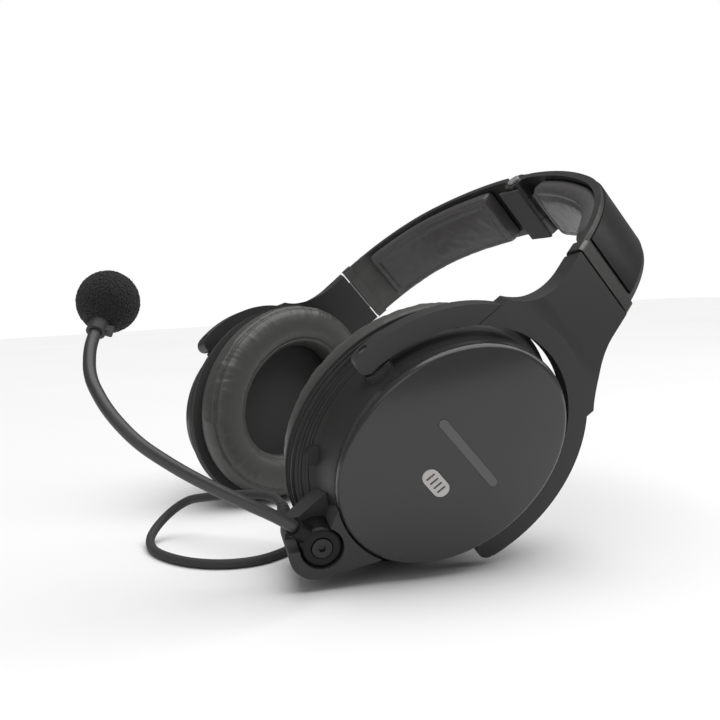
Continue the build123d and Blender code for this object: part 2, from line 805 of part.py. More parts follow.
def mic_plane():
    """The plane across the microphone's middle, looking on along the boom's end."""
    last = worn(*BOOM_POINTS[-1])
    along = (last - worn(*BOOM_POINTS[-2])).normalized()
    return Plane(origin=last + along * MIC_REACH, z_dir=along)


def mic_length(radius, start, stop):
    """A round length along the microphone's axis."""
    with BuildPart() as piece:
        with BuildSketch(mic_plane().offset(start)):
            Circle(radius)
        extrude(amount=stop - start)
    return piece.part


def mic_clip():
    """The pale clip that turns on the end of the boom and carries the capsule."""
    with BuildPart() as clip:
        add(mic_length(3.1, -MIC_REACH - 4.4, -MIC_REACH + 2.2))
        add(mic_length(BOOM_R + PIN_PLAY, -MIC_REACH - 5, -MIC_REACH + 0.2), mode=Mode.SUBTRACT)
        with BuildSketch(mic_plane().offset(-MIC_REACH - 3.4)):
            with Locations((0, 3.6)):
                RectangleRounded(3.0, 3.0, 0.6)
        extrude(amount=2.4)
        add(mic_length(BOOM_R + PIN_PLAY, -MIC_REACH - 5, -MIC_REACH + 0.2), mode=Mode.SUBTRACT)
    return clip.part


def mic_capsule():
    """The microphone capsule inside the foam."""
    with BuildPart() as capsule:
        add(mic_length(4.4, -MIC_REACH + 2.2, 2.0))
        fillet(capsule.edges().filter_by(GeomType.CIRCLE), radius=0.6)
    return capsule.part


def windscreen():
    """The foam ball over the capsule, with a round socket up to its middle."""
    with BuildPart() as foam:
        add(mic_plane().location * Sphere(FOAM_R, mode=Mode.PRIVATE))
        add(mic_length(4.5, -FOAM_R - 4, 2.2), mode=Mode.SUBTRACT)
    return foam.part


# Cable, control box and plugs. These places are in table coordinates. -----------------------

CABLE_R = 1.75
LEAD_R = 1.5
RELIEF_AT = (-6.0, -59.3)
RELIEF_LONG = 27.0
RELIEF_ROOT_R = 3.0
RELIEF_TIP_R = 2.3
VISIBLE_POINTS = [
    (29.1, -40.3, 20.6),
    (18.5, -46, 20.8),
    (7.5, -54, 19.5),
    (-3, -61, 17.6),
    (-12, -63.9, 15.6),
    (-16.5, -69, 11.9),
    (-16.5, -75.3, 7.1),
    (-11.5, -80.6, 3.3),
    (-3.5, -82.8, 1.8),
    (8, -83.5, 1.8),
    (20, -81, 1.8),
    (32, -75.5, 1.8),
    (41, -66, 1.8),
    (43.5, -54, 1.8),
    (38, -42.5, 1.8),
    (29, -31.5, 1.8),
    (20, -19, 1.8),
    (11.5, -4.5, 1.8),
    (3.5, 11, 1.8),
    (-4, 27, 1.8),
    (-10.5, 44, 1.8),
    (-18, 60, 1.8),
    (-29, 73.5, 1.8),
]
COIL_AT = (-62.0, 106.0)
COIL_R = 19.1
COIL_COLUMNS = 3
COIL_LAYERS = 3
COIL_TURNS = 9.25
coil_half = COIL_COLUMNS * CABLE_R
TAIL_POINTS = [
    (-85, 127, 3.2),
    (-93, 121.5, 6),
    (-99, 115, 8.6),
    (-104, 112, 10),
]
BOX_AT = (-140.0, 112.0)
BOX_LONG = 72.0
BOX_WIDE = 32.0
BOX_HIGH = 20.0
WHEEL_R = 8.0
WHEEL_THICK = 5.0
HEADPHONE_LEAD = [
    (-176, 117, 9.5),
    (-187, 118, 6.5),
    (-197, 122.5, 2.5),
    (-203, 132, 1.6),
    (-202, 143.5, 1.6),
    (-194.5, 152, 2.5),
    (-184, 154.5, 5.5),
    (-173, 154.5, 7),
]
MIC_LEAD = [
    (-176, 103, 9.5),
    (-188, 103, 6),
    (-200, 106, 2),
    (-210, 114, 1.6),
    (-216, 126, 1.6),
    (-218, 140, 1.6),
    (-215, 154, 1.6),
    (-207, 166, 1.6),
    (-196, 173.5, 3),
    (-184.5, 175.5, 5.5),
    (-173, 175.5, 7),
]


def strain_relief():
    """The tapered rubber sleeve where the cable leaves the pod, ringed with grooves."""
    with BuildPart() as sleeve:
        with BuildSketch(cup_plane(1).offset(POD_DEEP[0])):
            with Locations(RELIEF_AT):
                Circle(RELIEF_ROOT_R)
        with BuildSketch(cup_plane(1).offset(POD_DEEP[0] - RELIEF_LONG)):
            with Locations(RELIEF_AT):
                Circle(RELIEF_TIP_R)
        loft(ruled=True)
    return sleeve.part


def relief_tip():
    """The middle of the sleeve's free end, where the cable begins."""
    return cup_point(1, RELIEF_AT[0], RELIEF_AT[1], POD_DEEP[0] - RELIEF_LONG)


def cable_run():
    """The cable from the sleeve round its loop to the coil, and from the coil to the box."""
    middle = Vector(COIL_AT)
    enter = (middle.X + COIL_R + coil_half - CABLE_R, middle.Y - 14, 1.8)
    leave = (middle.X - 14, middle.Y + COIL_R + coil_half - CABLE_R, 1.8)
    first = tube([relief_tip(), *VISIBLE_POINTS, enter], CABLE_R)
    second = tube([leave, *TAIL_POINTS], CABLE_R)
    return Compound([first, second])


def cable_coil():
    """The outer shape of the coiled cable, lying on the table."""
    with BuildPart() as coil:
        with BuildSketch(Plane.XY.offset(0.05)):
            with Locations(COIL_AT):
                Circle(COIL_R + coil_half)
                Circle(COIL_R - coil_half, mode=Mode.SUBTRACT)
        extrude(amount=2 * COIL_LAYERS * CABLE_R)
    return coil.part


WALL_OF_BOX = 2.0
WHEEL_AT = (-118.0, 112.0)
WHEEL_OUT = BOX_WIDE / 2 - WHEEL_R + 2.2
BUTTON_AT = (-138.0, 112.0)
BUTTON_R = 4.0
BUTTON_TRAVEL = 0.8


def wheel_spots():
    """The middles of the two volume wheels, half sunk in the sides of the box."""
    return [(WHEEL_AT[0], WHEEL_AT[1] - WHEEL_OUT), (WHEEL_AT[0], WHEEL_AT[1] + WHEEL_OUT)]


def control_box():
    """The in-line control box: a hollow case with room for two wheels and a button."""
    with BuildPart() as case:
        with BuildSketch(Plane.XY.offset(0.05)):
            with Locations(BOX_AT):
                RectangleRounded(BOX_LONG, BOX_WIDE, 7)
        extrude(amount=BOX_HIGH - 0.05)
        fillet(case.faces().sort_by(Axis.Z)[-1].edges(), radius=2.5)
        with BuildSketch(Plane.XY.offset(WALL_OF_BOX)):
            with Locations(BOX_AT):
                RectangleRounded(BOX_LONG - 6, BOX_WIDE - 6, 4)
        extrude(amount=BOX_HIGH - 2 * WALL_OF_BOX, mode=Mode.SUBTRACT)
        with BuildSketch(Plane.XY.offset((BOX_HIGH - WHEEL_THICK) / 2 - 0.4)):
            with Locations(wheel_spots()):
                Circle(WHEEL_R + 0.5)
        extrude(amount=WHEEL_THICK + 0.8, mode=Mode.SUBTRACT)
        with BuildSketch(Plane.XY):
            with Locations(wheel_spots()):
                Circle(1.5)
        extrude(amount=BOX_HIGH - 1, mode=Mode.SUBTRACT)
        with BuildSketch(Plane.XY.offset(BOX_HIGH / 2)):
            with Locations(BUTTON_AT):
                Circle(BUTTON_R + 0.3)
        extrude(amount=BOX_HIGH, mode=Mode.SUBTRACT)
    return case.part


def volume_wheel(spot):
    """A volume wheel with notches round its rim, on its own short spindle."""
    with BuildPart() as wheel:
        with BuildSketch(Plane.XY.offset((BOX_HIGH - WHEEL_THICK) / 2)):
            with Locations(spot):
                Circle(WHEEL_R)
                with PolarLocations(WHEEL_R + 0.3, 24):
                    Circle(0.6, mode=Mode.SUBTRACT)
        extrude(amount=WHEEL_THICK)
        with BuildSketch(Plane.XY.offset(0.6)):
            with Locations(spot):
                Circle(1.45)
        extrude(amount=BOX_HIGH - 2)
    return wheel.part


def power_button():
    """The round push button on top of the control box."""
    with BuildPart() as button:
        with BuildSketch(Plane.XY.offset(BOX_HIGH - 4)):
            with Locations(BUTTON_AT):
                Circle(BUTTON_R)
        extrude(amount=5.2)
        fillet(button.faces().sort_by(Axis.Z)[-1].edges(), radius=0.6)
    return button.part


PLUG_SHELL_R = 7.0
PLUG_SHELL_LONG = 36.0
SHANK_LONG = 30.5
HEADPHONE_SHANK_R = 3.175
MIC_SHANK_R = 2.62


def plug(start, shank_r):
    """A plug along X: its moulded shell with a waist for the fingers, and its metal shank."""
    along = Plane(origin=start, x_dir=(0, 1, 0), z_dir=(1, 0, 0))
    with BuildPart() as shell:
        with BuildSketch(along):
            Circle(3.6)
        with BuildSketch(along.offset(12)):
            Circle(PLUG_SHELL_R - 0.6)
        loft(ruled=True)
        with BuildSketch(along.offset(12)):
            Circle(PLUG_SHELL_R - 0.6)
        extrude(amount=PLUG_SHELL_LONG - 18)
        with BuildSketch(along.offset(PLUG_SHELL_LONG - 6)):
            Circle(PLUG_SHELL_R - 0.05)
        extrude(amount=6)
    with BuildPart() as shank:
        with BuildSketch(along.offset(PLUG_SHELL_LONG)):
            Circle(shank_r)
        extrude(amount=SHANK_LONG - 4)
        with BuildSketch(along.offset(PLUG_SHELL_LONG + SHANK_LONG - 4)):
            Circle(shank_r - 0.9)
        with BuildSketch(along.offset(PLUG_SHELL_LONG + SHANK_LONG - 2.6)):
            Circle(shank_r - 0.1)
        with BuildSketch(along.offset(PLUG_SHELL_LONG + SHANK_LONG)):
            Circle(shank_r - 1.6)
        loft(ruled=True)
    return Compound([shell.part, shank.part])


# Writing the parts --------------------------------------------------------------------------

CUP_PIECES = (
    ear_cushion, cushion_flange, flange_screws, scrim, baffle, driver, driver_cone, anr_board,
    housing, cap, vent_grille, inlay, yoke, pivot_pins,
)
BAND_PIECES = (band_frame, band_cover, band_pad, band_collar, slide_rail)
for word, side in SIDES.items():
    for make in CUP_PIECES + BAND_PIECES:
        save(make(side), f"{word}_{make.__name__}")

SINGLE_PIECES = (
    hinge_pin, hinge_spring, hinge_cover, mic_pod, boom_knuckle, boom_pivot_screw, mic_clip,
    mic_capsule, windscreen, strain_relief, cable_run, cable_coil, control_box, power_button,
)
for make in SINGLE_PIECES:
    save(make(), make.__name__)

save(tube([worn(*point) for point in BOOM_POINTS], BOOM_R), "boom_tube")
save(tube(HEADPHONE_LEAD, LEAD_R), "headphone_lead")
save(tube(MIC_LEAD, LEAD_R), "mic_lead")
save(plug(HEADPHONE_LEAD[-1], HEADPHONE_SHANK_R), "headphone_plug")
save(plug(MIC_LEAD[-1], MIC_SHANK_R), "mic_plug")
for word, spot in zip(("front", "rear"), wheel_spots()):
    save(volume_wheel(spot), f"{word}_volume_wheel")

ROUTES = {"cable": VISIBLE_POINTS, "headphone lead": HEADPHONE_LEAD, "mic lead": MIC_LEAD}
for name, route in ROUTES.items():
    print(name, "arc radii", [round(radius, 1) for radius in open_radii(route)])
print("relief tip", tuple(round(value, 2) for value in relief_tip()))
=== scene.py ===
"""Aviation headset: the looks of its pieces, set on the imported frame. Sizes are in metres."""

import json
import logging
from collections.abc import Callable, Iterable, Sequence
from dataclasses import dataclass
from enum import Enum
from itertools import pairwise
from math import atan2, copysign, cos, exp, hypot, pi, radians, sin

import bpy
from mathutils import Matrix, Vector, noise


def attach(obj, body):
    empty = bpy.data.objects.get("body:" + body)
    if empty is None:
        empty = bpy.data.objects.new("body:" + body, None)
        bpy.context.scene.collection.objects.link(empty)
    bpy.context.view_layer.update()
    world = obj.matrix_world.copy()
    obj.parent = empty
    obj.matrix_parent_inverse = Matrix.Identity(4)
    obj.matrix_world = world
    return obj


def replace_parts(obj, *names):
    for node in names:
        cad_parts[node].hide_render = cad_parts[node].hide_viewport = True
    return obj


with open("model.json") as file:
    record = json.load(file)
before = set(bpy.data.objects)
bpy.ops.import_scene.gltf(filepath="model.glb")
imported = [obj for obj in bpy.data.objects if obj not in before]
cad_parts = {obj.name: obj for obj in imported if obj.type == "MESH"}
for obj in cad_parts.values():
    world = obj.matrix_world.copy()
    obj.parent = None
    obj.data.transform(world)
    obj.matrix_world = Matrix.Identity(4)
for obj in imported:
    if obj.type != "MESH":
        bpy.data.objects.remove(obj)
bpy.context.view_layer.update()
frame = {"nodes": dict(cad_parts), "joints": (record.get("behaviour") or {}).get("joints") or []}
log = logging.getLogger("headset")

MM = 0.001
Point = tuple[float, float, float]
Piece = bpy.types.Object
Socket = bpy.types.NodeSocket


class Side(Enum):
    """The two sides of the headset, as the sign of X."""

    LEFT = 1
    RIGHT = -1

    @property
    def word(self) -> str:
        """The word that the side's nodes and bodies begin with."""
        return self.name.lower()


# Finishes -----------------------------------------------------------------------------------


class Wiring:
    """A new material's nodes, gathered round one Principled shader."""

    def __init__(self, name: str) -> None:
        """Starts the material.

        Args:
            name: the material's name.
        """
        self.material = bpy.data.materials.new(name)
        self.material.use_nodes = True
        self.tree = self.material.node_tree
        self.shader = self.tree.nodes["Principled BSDF"]
        self.place = self.add("TexCoord").outputs["Object"]

    def add(self, kind: str, **settings: object) -> bpy.types.Node:
        """Adds a node.

        Args:
            kind: the node's type, without its ShaderNode prefix.
            settings: the node's own properties.

        Returns:
            The new node.
        """
        made = self.tree.nodes.new(f"ShaderNode{kind}")
        for name, value in settings.items():
            setattr(made, name, value)
        return made

    def feed(self, node: bpy.types.Node, **inputs: object) -> bpy.types.Node:
        """Sets or links a node's inputs by name, with underscores for spaces.

        Returns:
            The same node.
        """
        for name, value in inputs.items():
            target = node.inputs[name.replace("_", " ")]
            if isinstance(value, bpy.types.NodeSocket):
                self.tree.links.new(value, target)
            else:
                target.default_value = value
        return node

    def stretched(self, scale: Point) -> Socket:
        """The object's place, multiplied along each axis."""
        node = self.feed(self.add("Mapping"), Vector=self.place, Scale=scale)
        return node.outputs["Vector"]

    def noise(self, scale: float, detail: float = 3.0, place: Socket | None = None) -> Socket:
        """A noise pattern whose features are about 1 / scale metres across."""
        node = self.add("TexNoise")
        self.feed(node, Vector=place or self.place, Scale=scale, Detail=detail)
        return node.outputs["Fac"]

    def cells(self, scale: float, feature: str = "F1", place: Socket | None = None) -> Socket:
        """The distances of a cell pattern."""
        node = self.add("TexVoronoi", feature=feature)
        self.feed(node, Vector=place or self.place, Scale=scale)
        return node.outputs["Distance"]

    def spread(self, value: Socket, low: float, high: float, start: float = 0.3, end: float = 0.7) -> Socket:
        """A pattern brought to a range of values.

        Args:
            value: the pattern.
            low: the value given at start.
            high: the value given at end.
            start: where the pattern's range begins.
            end: where it ends.

        Returns:
            The new value.
        """
        node = self.feed(
            self.add("MapRange"), Value=value, From_Min=start, From_Max=end, To_Min=low, To_Max=high
        )
        return node.outputs["Result"]

    def maths(self, operation: str, first: Socket | float, second: Socket | float = 0.0) -> Socket:
        """One sum on two values."""
        node = self.add("Math", operation=operation)
        for target, value in zip(node.inputs, (first, second)):
            if isinstance(value, bpy.types.NodeSocket):
                self.tree.links.new(value, target)
            else:
                target.default_value = value
        return node.outputs["Value"]

    def tint(self, value: Socket, dark: Sequence[float], light: Sequence[float]) -> Socket:
        """A colour that runs from dark to light with a value from 0 to 1."""
        node = self.add("Mix", data_type="RGBA")
        self.tree.links.new(value, node.inputs["Factor"])
        colours = [socket for socket in node.inputs if socket.type == "RGBA"]
        colours[0].default_value = (*dark, 1)
        colours[1].default_value = (*light, 1)
        return [socket for socket in node.outputs if socket.type == "RGBA"][0]

    def along(self, direction: Vector, origin: Vector) -> Socket:
        """How far a place lies along a direction from an origin, in metres."""
        shift = self.add("VectorMath", operation="SUBTRACT")
        self.tree.links.new(self.place, shift.inputs[0])
        shift.inputs[1].default_value = origin
        dot = self.add("VectorMath", operation="DOT_PRODUCT")
        self.tree.links.new(shift.outputs["Vector"], dot.inputs[0])
        dot.inputs[1].default_value = direction
        return dot.outputs["Value"]

    def relief(self, *layers: tuple[Socket, float], soften: float = 0.0) -> None:
        """Sets the shader's normal from stacked height patterns.

        Args:
            layers: each pattern, and how high it stands in metres.
            soften: the radius that sharp edges are shaded with.
        """
        normal: Socket | None = None
        if soften:
            edge = self.add("Bevel", samples=4)
            edge.inputs["Radius"].default_value = soften
            normal = edge.outputs["Normal"]
        for height, depth in layers:
            bump = self.feed(self.add("Bump"), Height=height, Strength=1.0, Distance=depth)
            if normal is not None:
                self.tree.links.new(normal, bump.inputs["Normal"])
            normal = bump.outputs["Normal"]
        if normal is not None:
            self.tree.links.new(normal, self.shader.inputs["Normal"])

    def surface(self, mirror: float = 0.22, **inputs: object) -> None:
        """Sets or links the shader's own inputs.

        Args:
            mirror: the specular level, low because the surround is white.
            inputs: the other inputs by name, with underscores for spaces.
        """
        self.feed(self.shader, Specular_IOR_Level=mirror, **inputs)


def shade(colour: Sequence[float], factor: float) -> Point:
    """A colour, darker or lighter by a factor."""
    return tuple(min(1.0, channel * factor) for channel in colour)


@dataclass(frozen=True)
class Finish:
    """A surface finish: its name, its colour and how rough it is."""

    name: str
    colour: Point
    rough: float = 0.5

    def material(self) -> bpy.types.Material:
        """The finish's material, made once and used again."""
        made = bpy.data.materials.get(self.name)
        if made is None:
            wiring = Wiring(self.name)
            self.wire(wiring)
            made = wiring.material
        return made

    def wire(self, wiring: Wiring) -> None:
        """Wires the finish's nodes. Each finish has its own."""
        raise NotImplementedError

    def colour_drift(self, wiring: Wiring, scale: float, amount: float) -> Socket:
        """The colour, a little lighter and darker from place to place."""
        patches = wiring.spread(wiring.noise(scale), 0.0, 1.0)
        return wiring.tint(patches, shade(self.colour, 1 - amount), shade(self.colour, 1 + amount))


@dataclass(frozen=True)
class MouldedPlastic(Finish):
    """Moulded plastic with a fine spark-eroded grain and faint handling marks."""

    grain: float = 0.035 * MM
    soften: float = 0.4 * MM

    def wire(self, wiring: Wiring) -> None:
        """Fine grain, with smudges that change how rough it is."""
        smudges = wiring.noise(90, 4)
        wiring.surface(
            Base_Color=self.colour_drift(wiring, 60, 0.14),
            Roughness=wiring.spread(smudges, self.rough - 0.07, self.rough + 0.08),
        )
        grain = wiring.noise(4200, 2)
        wiring.relief((grain, self.grain), (wiring.noise(700, 2), self.grain), soften=self.soften)


@dataclass(frozen=True)
class GlossPlastic(Finish):
    """Smooth gloss plastic with a faint waviness and hairline scuffs."""

    coat: float = 0.12

    def wire(self, wiring: Wiring) -> None:
        """A clear top over a dark body, scuffed a little."""
        scuffs = wiring.noise(1.0, 5, wiring.stretched((900, 120, 420)))
        haze = wiring.spread(wiring.noise(45, 4), self.rough - 0.05, self.rough + 0.07)
        marks = wiring.spread(scuffs, 0.0, 0.05, 0.62, 0.75)
        wiring.surface(
            Base_Color=self.colour_drift(wiring, 40, 0.1),
            Roughness=wiring.maths("ADD", haze, marks),
            Coat_Weight=self.coat,
            Coat_Roughness=0.22,
        )
        wiring.relief((wiring.noise(260, 2), 0.02 * MM), (wiring.noise(3600, 1), 0.008 * MM))


@dataclass(frozen=True)
class RibbedShell(Finish):
    """The housing's satin plastic, with fine ribs that run round the cup."""

    side: Side = Side.LEFT
    pitch: float = 1.9 * MM
    first: float = -14.6 * MM
    last: float = -8.4 * MM

    def wire(self, wiring: Wiring) -> None:
        """Ribs by depth through the cup, between the skirt and the waist."""
        cup = CupFrame(self.side)
        depth = wiring.along(cup.out, cup.pivot)
        wave = wiring.maths("SINE", wiring.maths("MULTIPLY", depth, 2 * pi / self.pitch))
        inside = wiring.spread(depth, 0.0, 1.0, self.first - 0.2 * MM, self.first)
        before = wiring.spread(depth, 1.0, 0.0, self.last, self.last + 0.2 * MM)
        mask = wiring.maths("MULTIPLY", inside, before)
        ribs = wiring.maths("MULTIPLY", wiring.spread(wave, 0.0, 1.0, -0.2, 0.6), mask)
        smudges = wiring.noise(80, 4)
        wiring.surface(
            Base_Color=self.colour_drift(wiring, 50, 0.12),
            Roughness=wiring.spread(smudges, self.rough - 0.06, self.rough + 0.08),
        )
        wiring.relief((wiring.noise(3800, 2), 0.02 * MM), (ribs, 0.5 * MM), soften=0.4 * MM)


@dataclass(frozen=True)
class Metal(Finish):
    """Metal with a drawn or blasted grain."""

    stretch: Point = (300.0, 4000.0, 4000.0)
    grain: float = 0.012 * MM

    def wire(self, wiring: Wiring) -> None:
        """Grain drawn out along one axis."""
        lines = wiring.noise(1.0, 3, wiring.stretched(self.stretch))
        wiring.surface(
            Base_Color=self.colour_drift(wiring, 120, 0.1),
            Metallic=1.0,
            Roughness=wiring.spread(lines, self.rough - 0.08, self.rough + 0.1),
        )
        wiring.relief((lines, self.grain), soften=0.3 * MM)


@dataclass(frozen=True)
class Leather(Finish):
    """Soft leather: pebbled grain, creases between the pebbles and a dull sheen."""

    pebble: float = 1.1 * MM
    depth: float = 0.16 * MM

    def wire(self, wiring: Wiring) -> None:
        """Pebbles of two sizes, worn smoother on their tops, with painted shade in the creases between them
        and in the folds, and painted light on their tops.
        """
        warp = wiring.add("VectorMath", operation="ADD")
        drift = wiring.add("TexNoise")
        wiring.feed(drift, Vector=wiring.place, Scale=420.0, Detail=2.0)
        shrink = wiring.add("VectorMath", operation="SCALE")
        wiring.tree.links.new(drift.outputs["Color"], shrink.inputs[0])
        shrink.inputs["Scale"].default_value = 0.8 * MM
        wiring.tree.links.new(wiring.place, warp.inputs[0])
        wiring.tree.links.new(shrink.outputs["Vector"], warp.inputs[1])
        place = warp.outputs["Vector"]
        creases = wiring.cells(1 / self.pebble, "DISTANCE_TO_EDGE", place)
        pebbles = wiring.spread(creases, 0.0, 1.0, 0.0, 0.22)
        fine = wiring.cells(3.1 / self.pebble, "F1", place)
        folds = wiring.noise(55, 3)
        # painted shade and light: the colour is darker in the creases between the pebbles and in the broad
        # folds, and lighter on the pebble tops
        painted_fold_and_crease_shade = wiring.maths("MULTIPLY", pebbles, wiring.spread(folds, 0.55, 1.0))
        wiring.surface(
            Base_Color=wiring.tint(painted_fold_and_crease_shade, shade(self.colour, 0.55), shade(self.colour, 1.2)),
            Roughness=wiring.spread(pebbles, self.rough + 0.16, self.rough - 0.04, 0.0, 1.0),
            Sheen_Weight=0.06,
            Sheen_Roughness=0.4,
        )
        wiring.relief((folds, 0.5 * MM), (pebbles, self.depth), (fine, self.depth * 0.3))


@dataclass(frozen=True)
class Cloth(Finish):
    """Woven or knitted cloth, as two sets of threads that cross."""

    thread: float = 0.5 * MM
    depth: float = 0.12 * MM
    mottle: float = 0.35

    def wire(self, wiring: Wiring) -> None:
        """Threads along two slanted directions, with painted light on their tops and painted shade between
        them, and with lint that catches light.
        """
        weft = self.threads(wiring, Vector((0.72, 0.46, 0.52)).normalized())
        warp = self.threads(wiring, Vector((-0.62, 0.7, 0.35)).normalized())
        over = wiring.maths("MAXIMUM", weft, warp)
        lint = wiring.spread(wiring.noise(900, 4), 0.0, 1.0, 0.35, 0.65)
        # painted light and shade: the colour is lighter on the tops of the threads and darker between them,
        # and lighter where the lint is
        light = wiring.maths("MULTIPLY", over, wiring.spread(lint, 1 - self.mottle, 1.0, 0.0, 1.0))
        wiring.surface(
            Base_Color=wiring.tint(light, shade(self.colour, 0.4), shade(self.colour, 1.5)),
            Roughness=wiring.spread(lint, self.rough - 0.05, self.rough + 0.08, 0.0, 1.0),
            Sheen_Weight=0.1,
            Sheen_Roughness=0.5,
        )
        wiring.relief((wiring.noise(120, 2), 0.25 * MM), (over, self.depth), (lint, self.depth * 0.6))

    def threads(self, wiring: Wiring, direction: Vector) -> Socket:
        """One set of round threads, side by side along a direction."""
        across = wiring.along(direction, Vector((0, 0, 0)))
        phase = wiring.maths("MULTIPLY", across, 2 * pi / self.thread)
        return wiring.spread(wiring.maths("SINE", phase), 0.0, 1.0, -1.0, 1.0)


@dataclass(frozen=True)
class Foam(Finish):
    """Open-cell foam: small pores between soft ridges."""

    pore: float = 0.75 * MM

    def wire(self, wiring: Wiring) -> None:
        """Pores of two sizes, with painted shade inside them and painted light on the ridges."""
        pores = wiring.cells(1 / self.pore)
        small = wiring.cells(2.3 / self.pore)
        large_holes = wiring.spread(pores, 1.0, 0.0, 0.1, 0.7)
        small_holes = wiring.spread(small, 0.5, 0.0, 0.1, 0.7)
        both = wiring.maths("ADD", large_holes, small_holes)
        ridge = wiring.spread(both, 1.0, 0.0, 0.3, 1.2)
        # painted shade: the colour is darker inside the pores and lighter on the ridges between them
        wiring.surface(
            Base_Color=wiring.tint(ridge, shade(self.colour, 0.35), shade(self.colour, 1.8)),
            Roughness=wiring.spread(ridge, 0.98, 0.8, 0.0, 1.0),
            Sheen_Weight=0.1,
            Sheen_Roughness=0.6,
        )
        wiring.relief((ridge, 0.45 * MM), (wiring.noise(2600, 3), 0.1 * MM))


@dataclass(frozen=True)
class Rubber(Finish):
    """Soft moulded rubber, dull and a little dusty."""

    def wire(self, wiring: Wiring) -> None:
        """Fine matte grain with pale dust in patches."""
        dust = wiring.spread(wiring.noise(150, 5), 0.0, 1.0, 0.45, 0.8)
        wiring.surface(
            Base_Color=wiring.tint(dust, shade(self.colour, 0.85), shade(self.colour, 1.7)),
            Roughness=wiring.spread(dust, self.rough - 0.06, self.rough + 0.12, 0.0, 1.0),
        )
        wiring.relief((wiring.noise(2400, 3), 0.05 * MM), (wiring.noise(240, 2), 0.08 * MM))


@dataclass(frozen=True)
class PlugFinish(Finish):
    """A plug's moulded shell with a ribbed grip, and its bright shank with two dark rings."""

    start: Point = (0.0, 0.0, 0.0)
    shell: float = 36.0 * MM
    grip: tuple[float, float] = (12.0 * MM, 29.0 * MM)
    rib: float = 2.0 * MM
    rings: tuple[float, float] = (46.0 * MM, 56.0 * MM)
    steel: Point = (0.62, 0.61, 0.59)

    def wire(self, wiring: Wiring) -> None:
        """Ribs on the shell and rings on the shank, by their place along the plug."""
        along = wiring.along(Vector((1, 0, 0)), Vector(self.start))
        bright = self.step(wiring, along, self.shell, 1.0)
        for ring in self.rings:
            bright = wiring.maths("SUBTRACT", bright, self.band(wiring, along, ring, ring + 1 * MM))
        on_grip = self.band(wiring, along, *self.grip)
        wave = wiring.maths("SINE", wiring.maths("MULTIPLY", along, 2 * pi / self.rib))
        ribs = wiring.maths("MULTIPLY", wiring.spread(wave, 0.0, 1.0, -0.5, 0.5), on_grip)
        wiring.surface(
            Base_Color=wiring.tint(bright, self.colour, self.steel),
            Metallic=bright,
            Roughness=wiring.spread(bright, self.rough, 0.24, 0.0, 1.0),
        )
        wiring.relief((wiring.noise(3800, 2), 0.02 * MM), (ribs, 0.5 * MM))

    def band(self, wiring: Wiring, along: Socket, low: float, high: float) -> Socket:
        """A value that is one between two places along the plug."""
        rise = self.step(wiring, along, low, 1.0)
        return wiring.maths("MULTIPLY", rise, self.step(wiring, along, high, -1.0))

    def step(self, wiring: Wiring, along: Socket, at: float, way: float) -> Socket:
        """A value that steps up, or down where way is negative, at a place along the plug."""
        low, high = (0.0, 1.0) if way > 0 else (1.0, 0.0)
        return wiring.spread(along, low, high, at - 0.1 * MM, at + 0.1 * MM)


@dataclass(frozen=True)
class CircuitBoard(Finish):
    """Solder mask over copper traces, with tinned pads."""

    def wire(self, wiring: Wiring) -> None:
        """Traces in a square pattern under the green mask."""
        traces = wiring.spread(wiring.cells(700, "DISTANCE_TO_EDGE"), 1.0, 0.0, 0.02, 0.08)
        pads = wiring.spread(wiring.cells(420), 1.0, 0.0, 0.12, 0.16)
        copper = wiring.maths("MAXIMUM", traces, pads)
        wiring.surface(
            Base_Color=wiring.tint(copper, self.colour, shade(self.colour, 2.6)),
            Roughness=wiring.spread(wiring.noise(300), self.rough - 0.08, self.rough + 0.1),
            Metallic=wiring.maths("MULTIPLY", pads, 0.8),
        )
        wiring.relief((traces, 0.05 * MM), (pads, 0.08 * MM))


CUSHION_LEATHER = Leather("cushion_leather", (0.008, 0.0078, 0.0076), 0.42)
PAD_LEATHER = Leather(
    "pad_leather", (0.007, 0.0069, 0.0069), 0.62, pebble=1.6 * MM, depth=0.1 * MM
)
SCRIM_CLOTH = Cloth("scrim_cloth", (0.004, 0.004, 0.0042), 0.9, thread=0.9 * MM)
CAP_GLOSS = GlossPlastic("cap_gloss", (0.004, 0.004, 0.0042), 0.3)
COVER_GLOSS = GlossPlastic("cover_gloss", (0.004, 0.004, 0.0042), 0.33)
INLAY_DARK = GlossPlastic("inlay_dark", (0.16, 0.158, 0.155), 0.32)
SHELL_BLACK = MouldedPlastic("shell_black", (0.0045, 0.0045, 0.0047), 0.42)
KNUCKLE_GREY = MouldedPlastic("knuckle_grey", (0.008, 0.008, 0.0079), 0.36)
PALE_PLASTIC = MouldedPlastic("pale_plastic", (0.34, 0.335, 0.33), 0.45)
YOKE_BLACK = MouldedPlastic("yoke_black", (0.0042, 0.0042, 0.0044), 0.36, soften=1.0 * MM)
BOOM_BLACK = MouldedPlastic("boom_black", (0.006, 0.006, 0.006), 0.34, grain=0.012 * MM)
CONE_FILM = MouldedPlastic("cone_film", (0.2, 0.19, 0.17), 0.5)
TRIM_SATIN = Metal("trim_satin", (0.1, 0.099, 0.097), 0.42, stretch=(2500.0, 2500.0, 2500.0))
STEEL = Metal("steel", (0.55, 0.55, 0.56), 0.3)
STEEL_DARK = Metal("steel_dark", (0.045, 0.045, 0.046), 0.34)
CLIP_GREY = MouldedPlastic("clip_grey", (0.05, 0.05, 0.05), 0.4)
FOAM_BLACK = Foam("foam_black", (0.005, 0.005, 0.005), 0.9)
CABLE_RUBBER = Rubber("cable_rubber", (0.0055, 0.0055, 0.0055), 0.5)
BOARD_GREEN = CircuitBoard("circuit_board", (0.012, 0.09, 0.04), 0.4)

# Frames and tools of the bench --------------------------------------------------------------

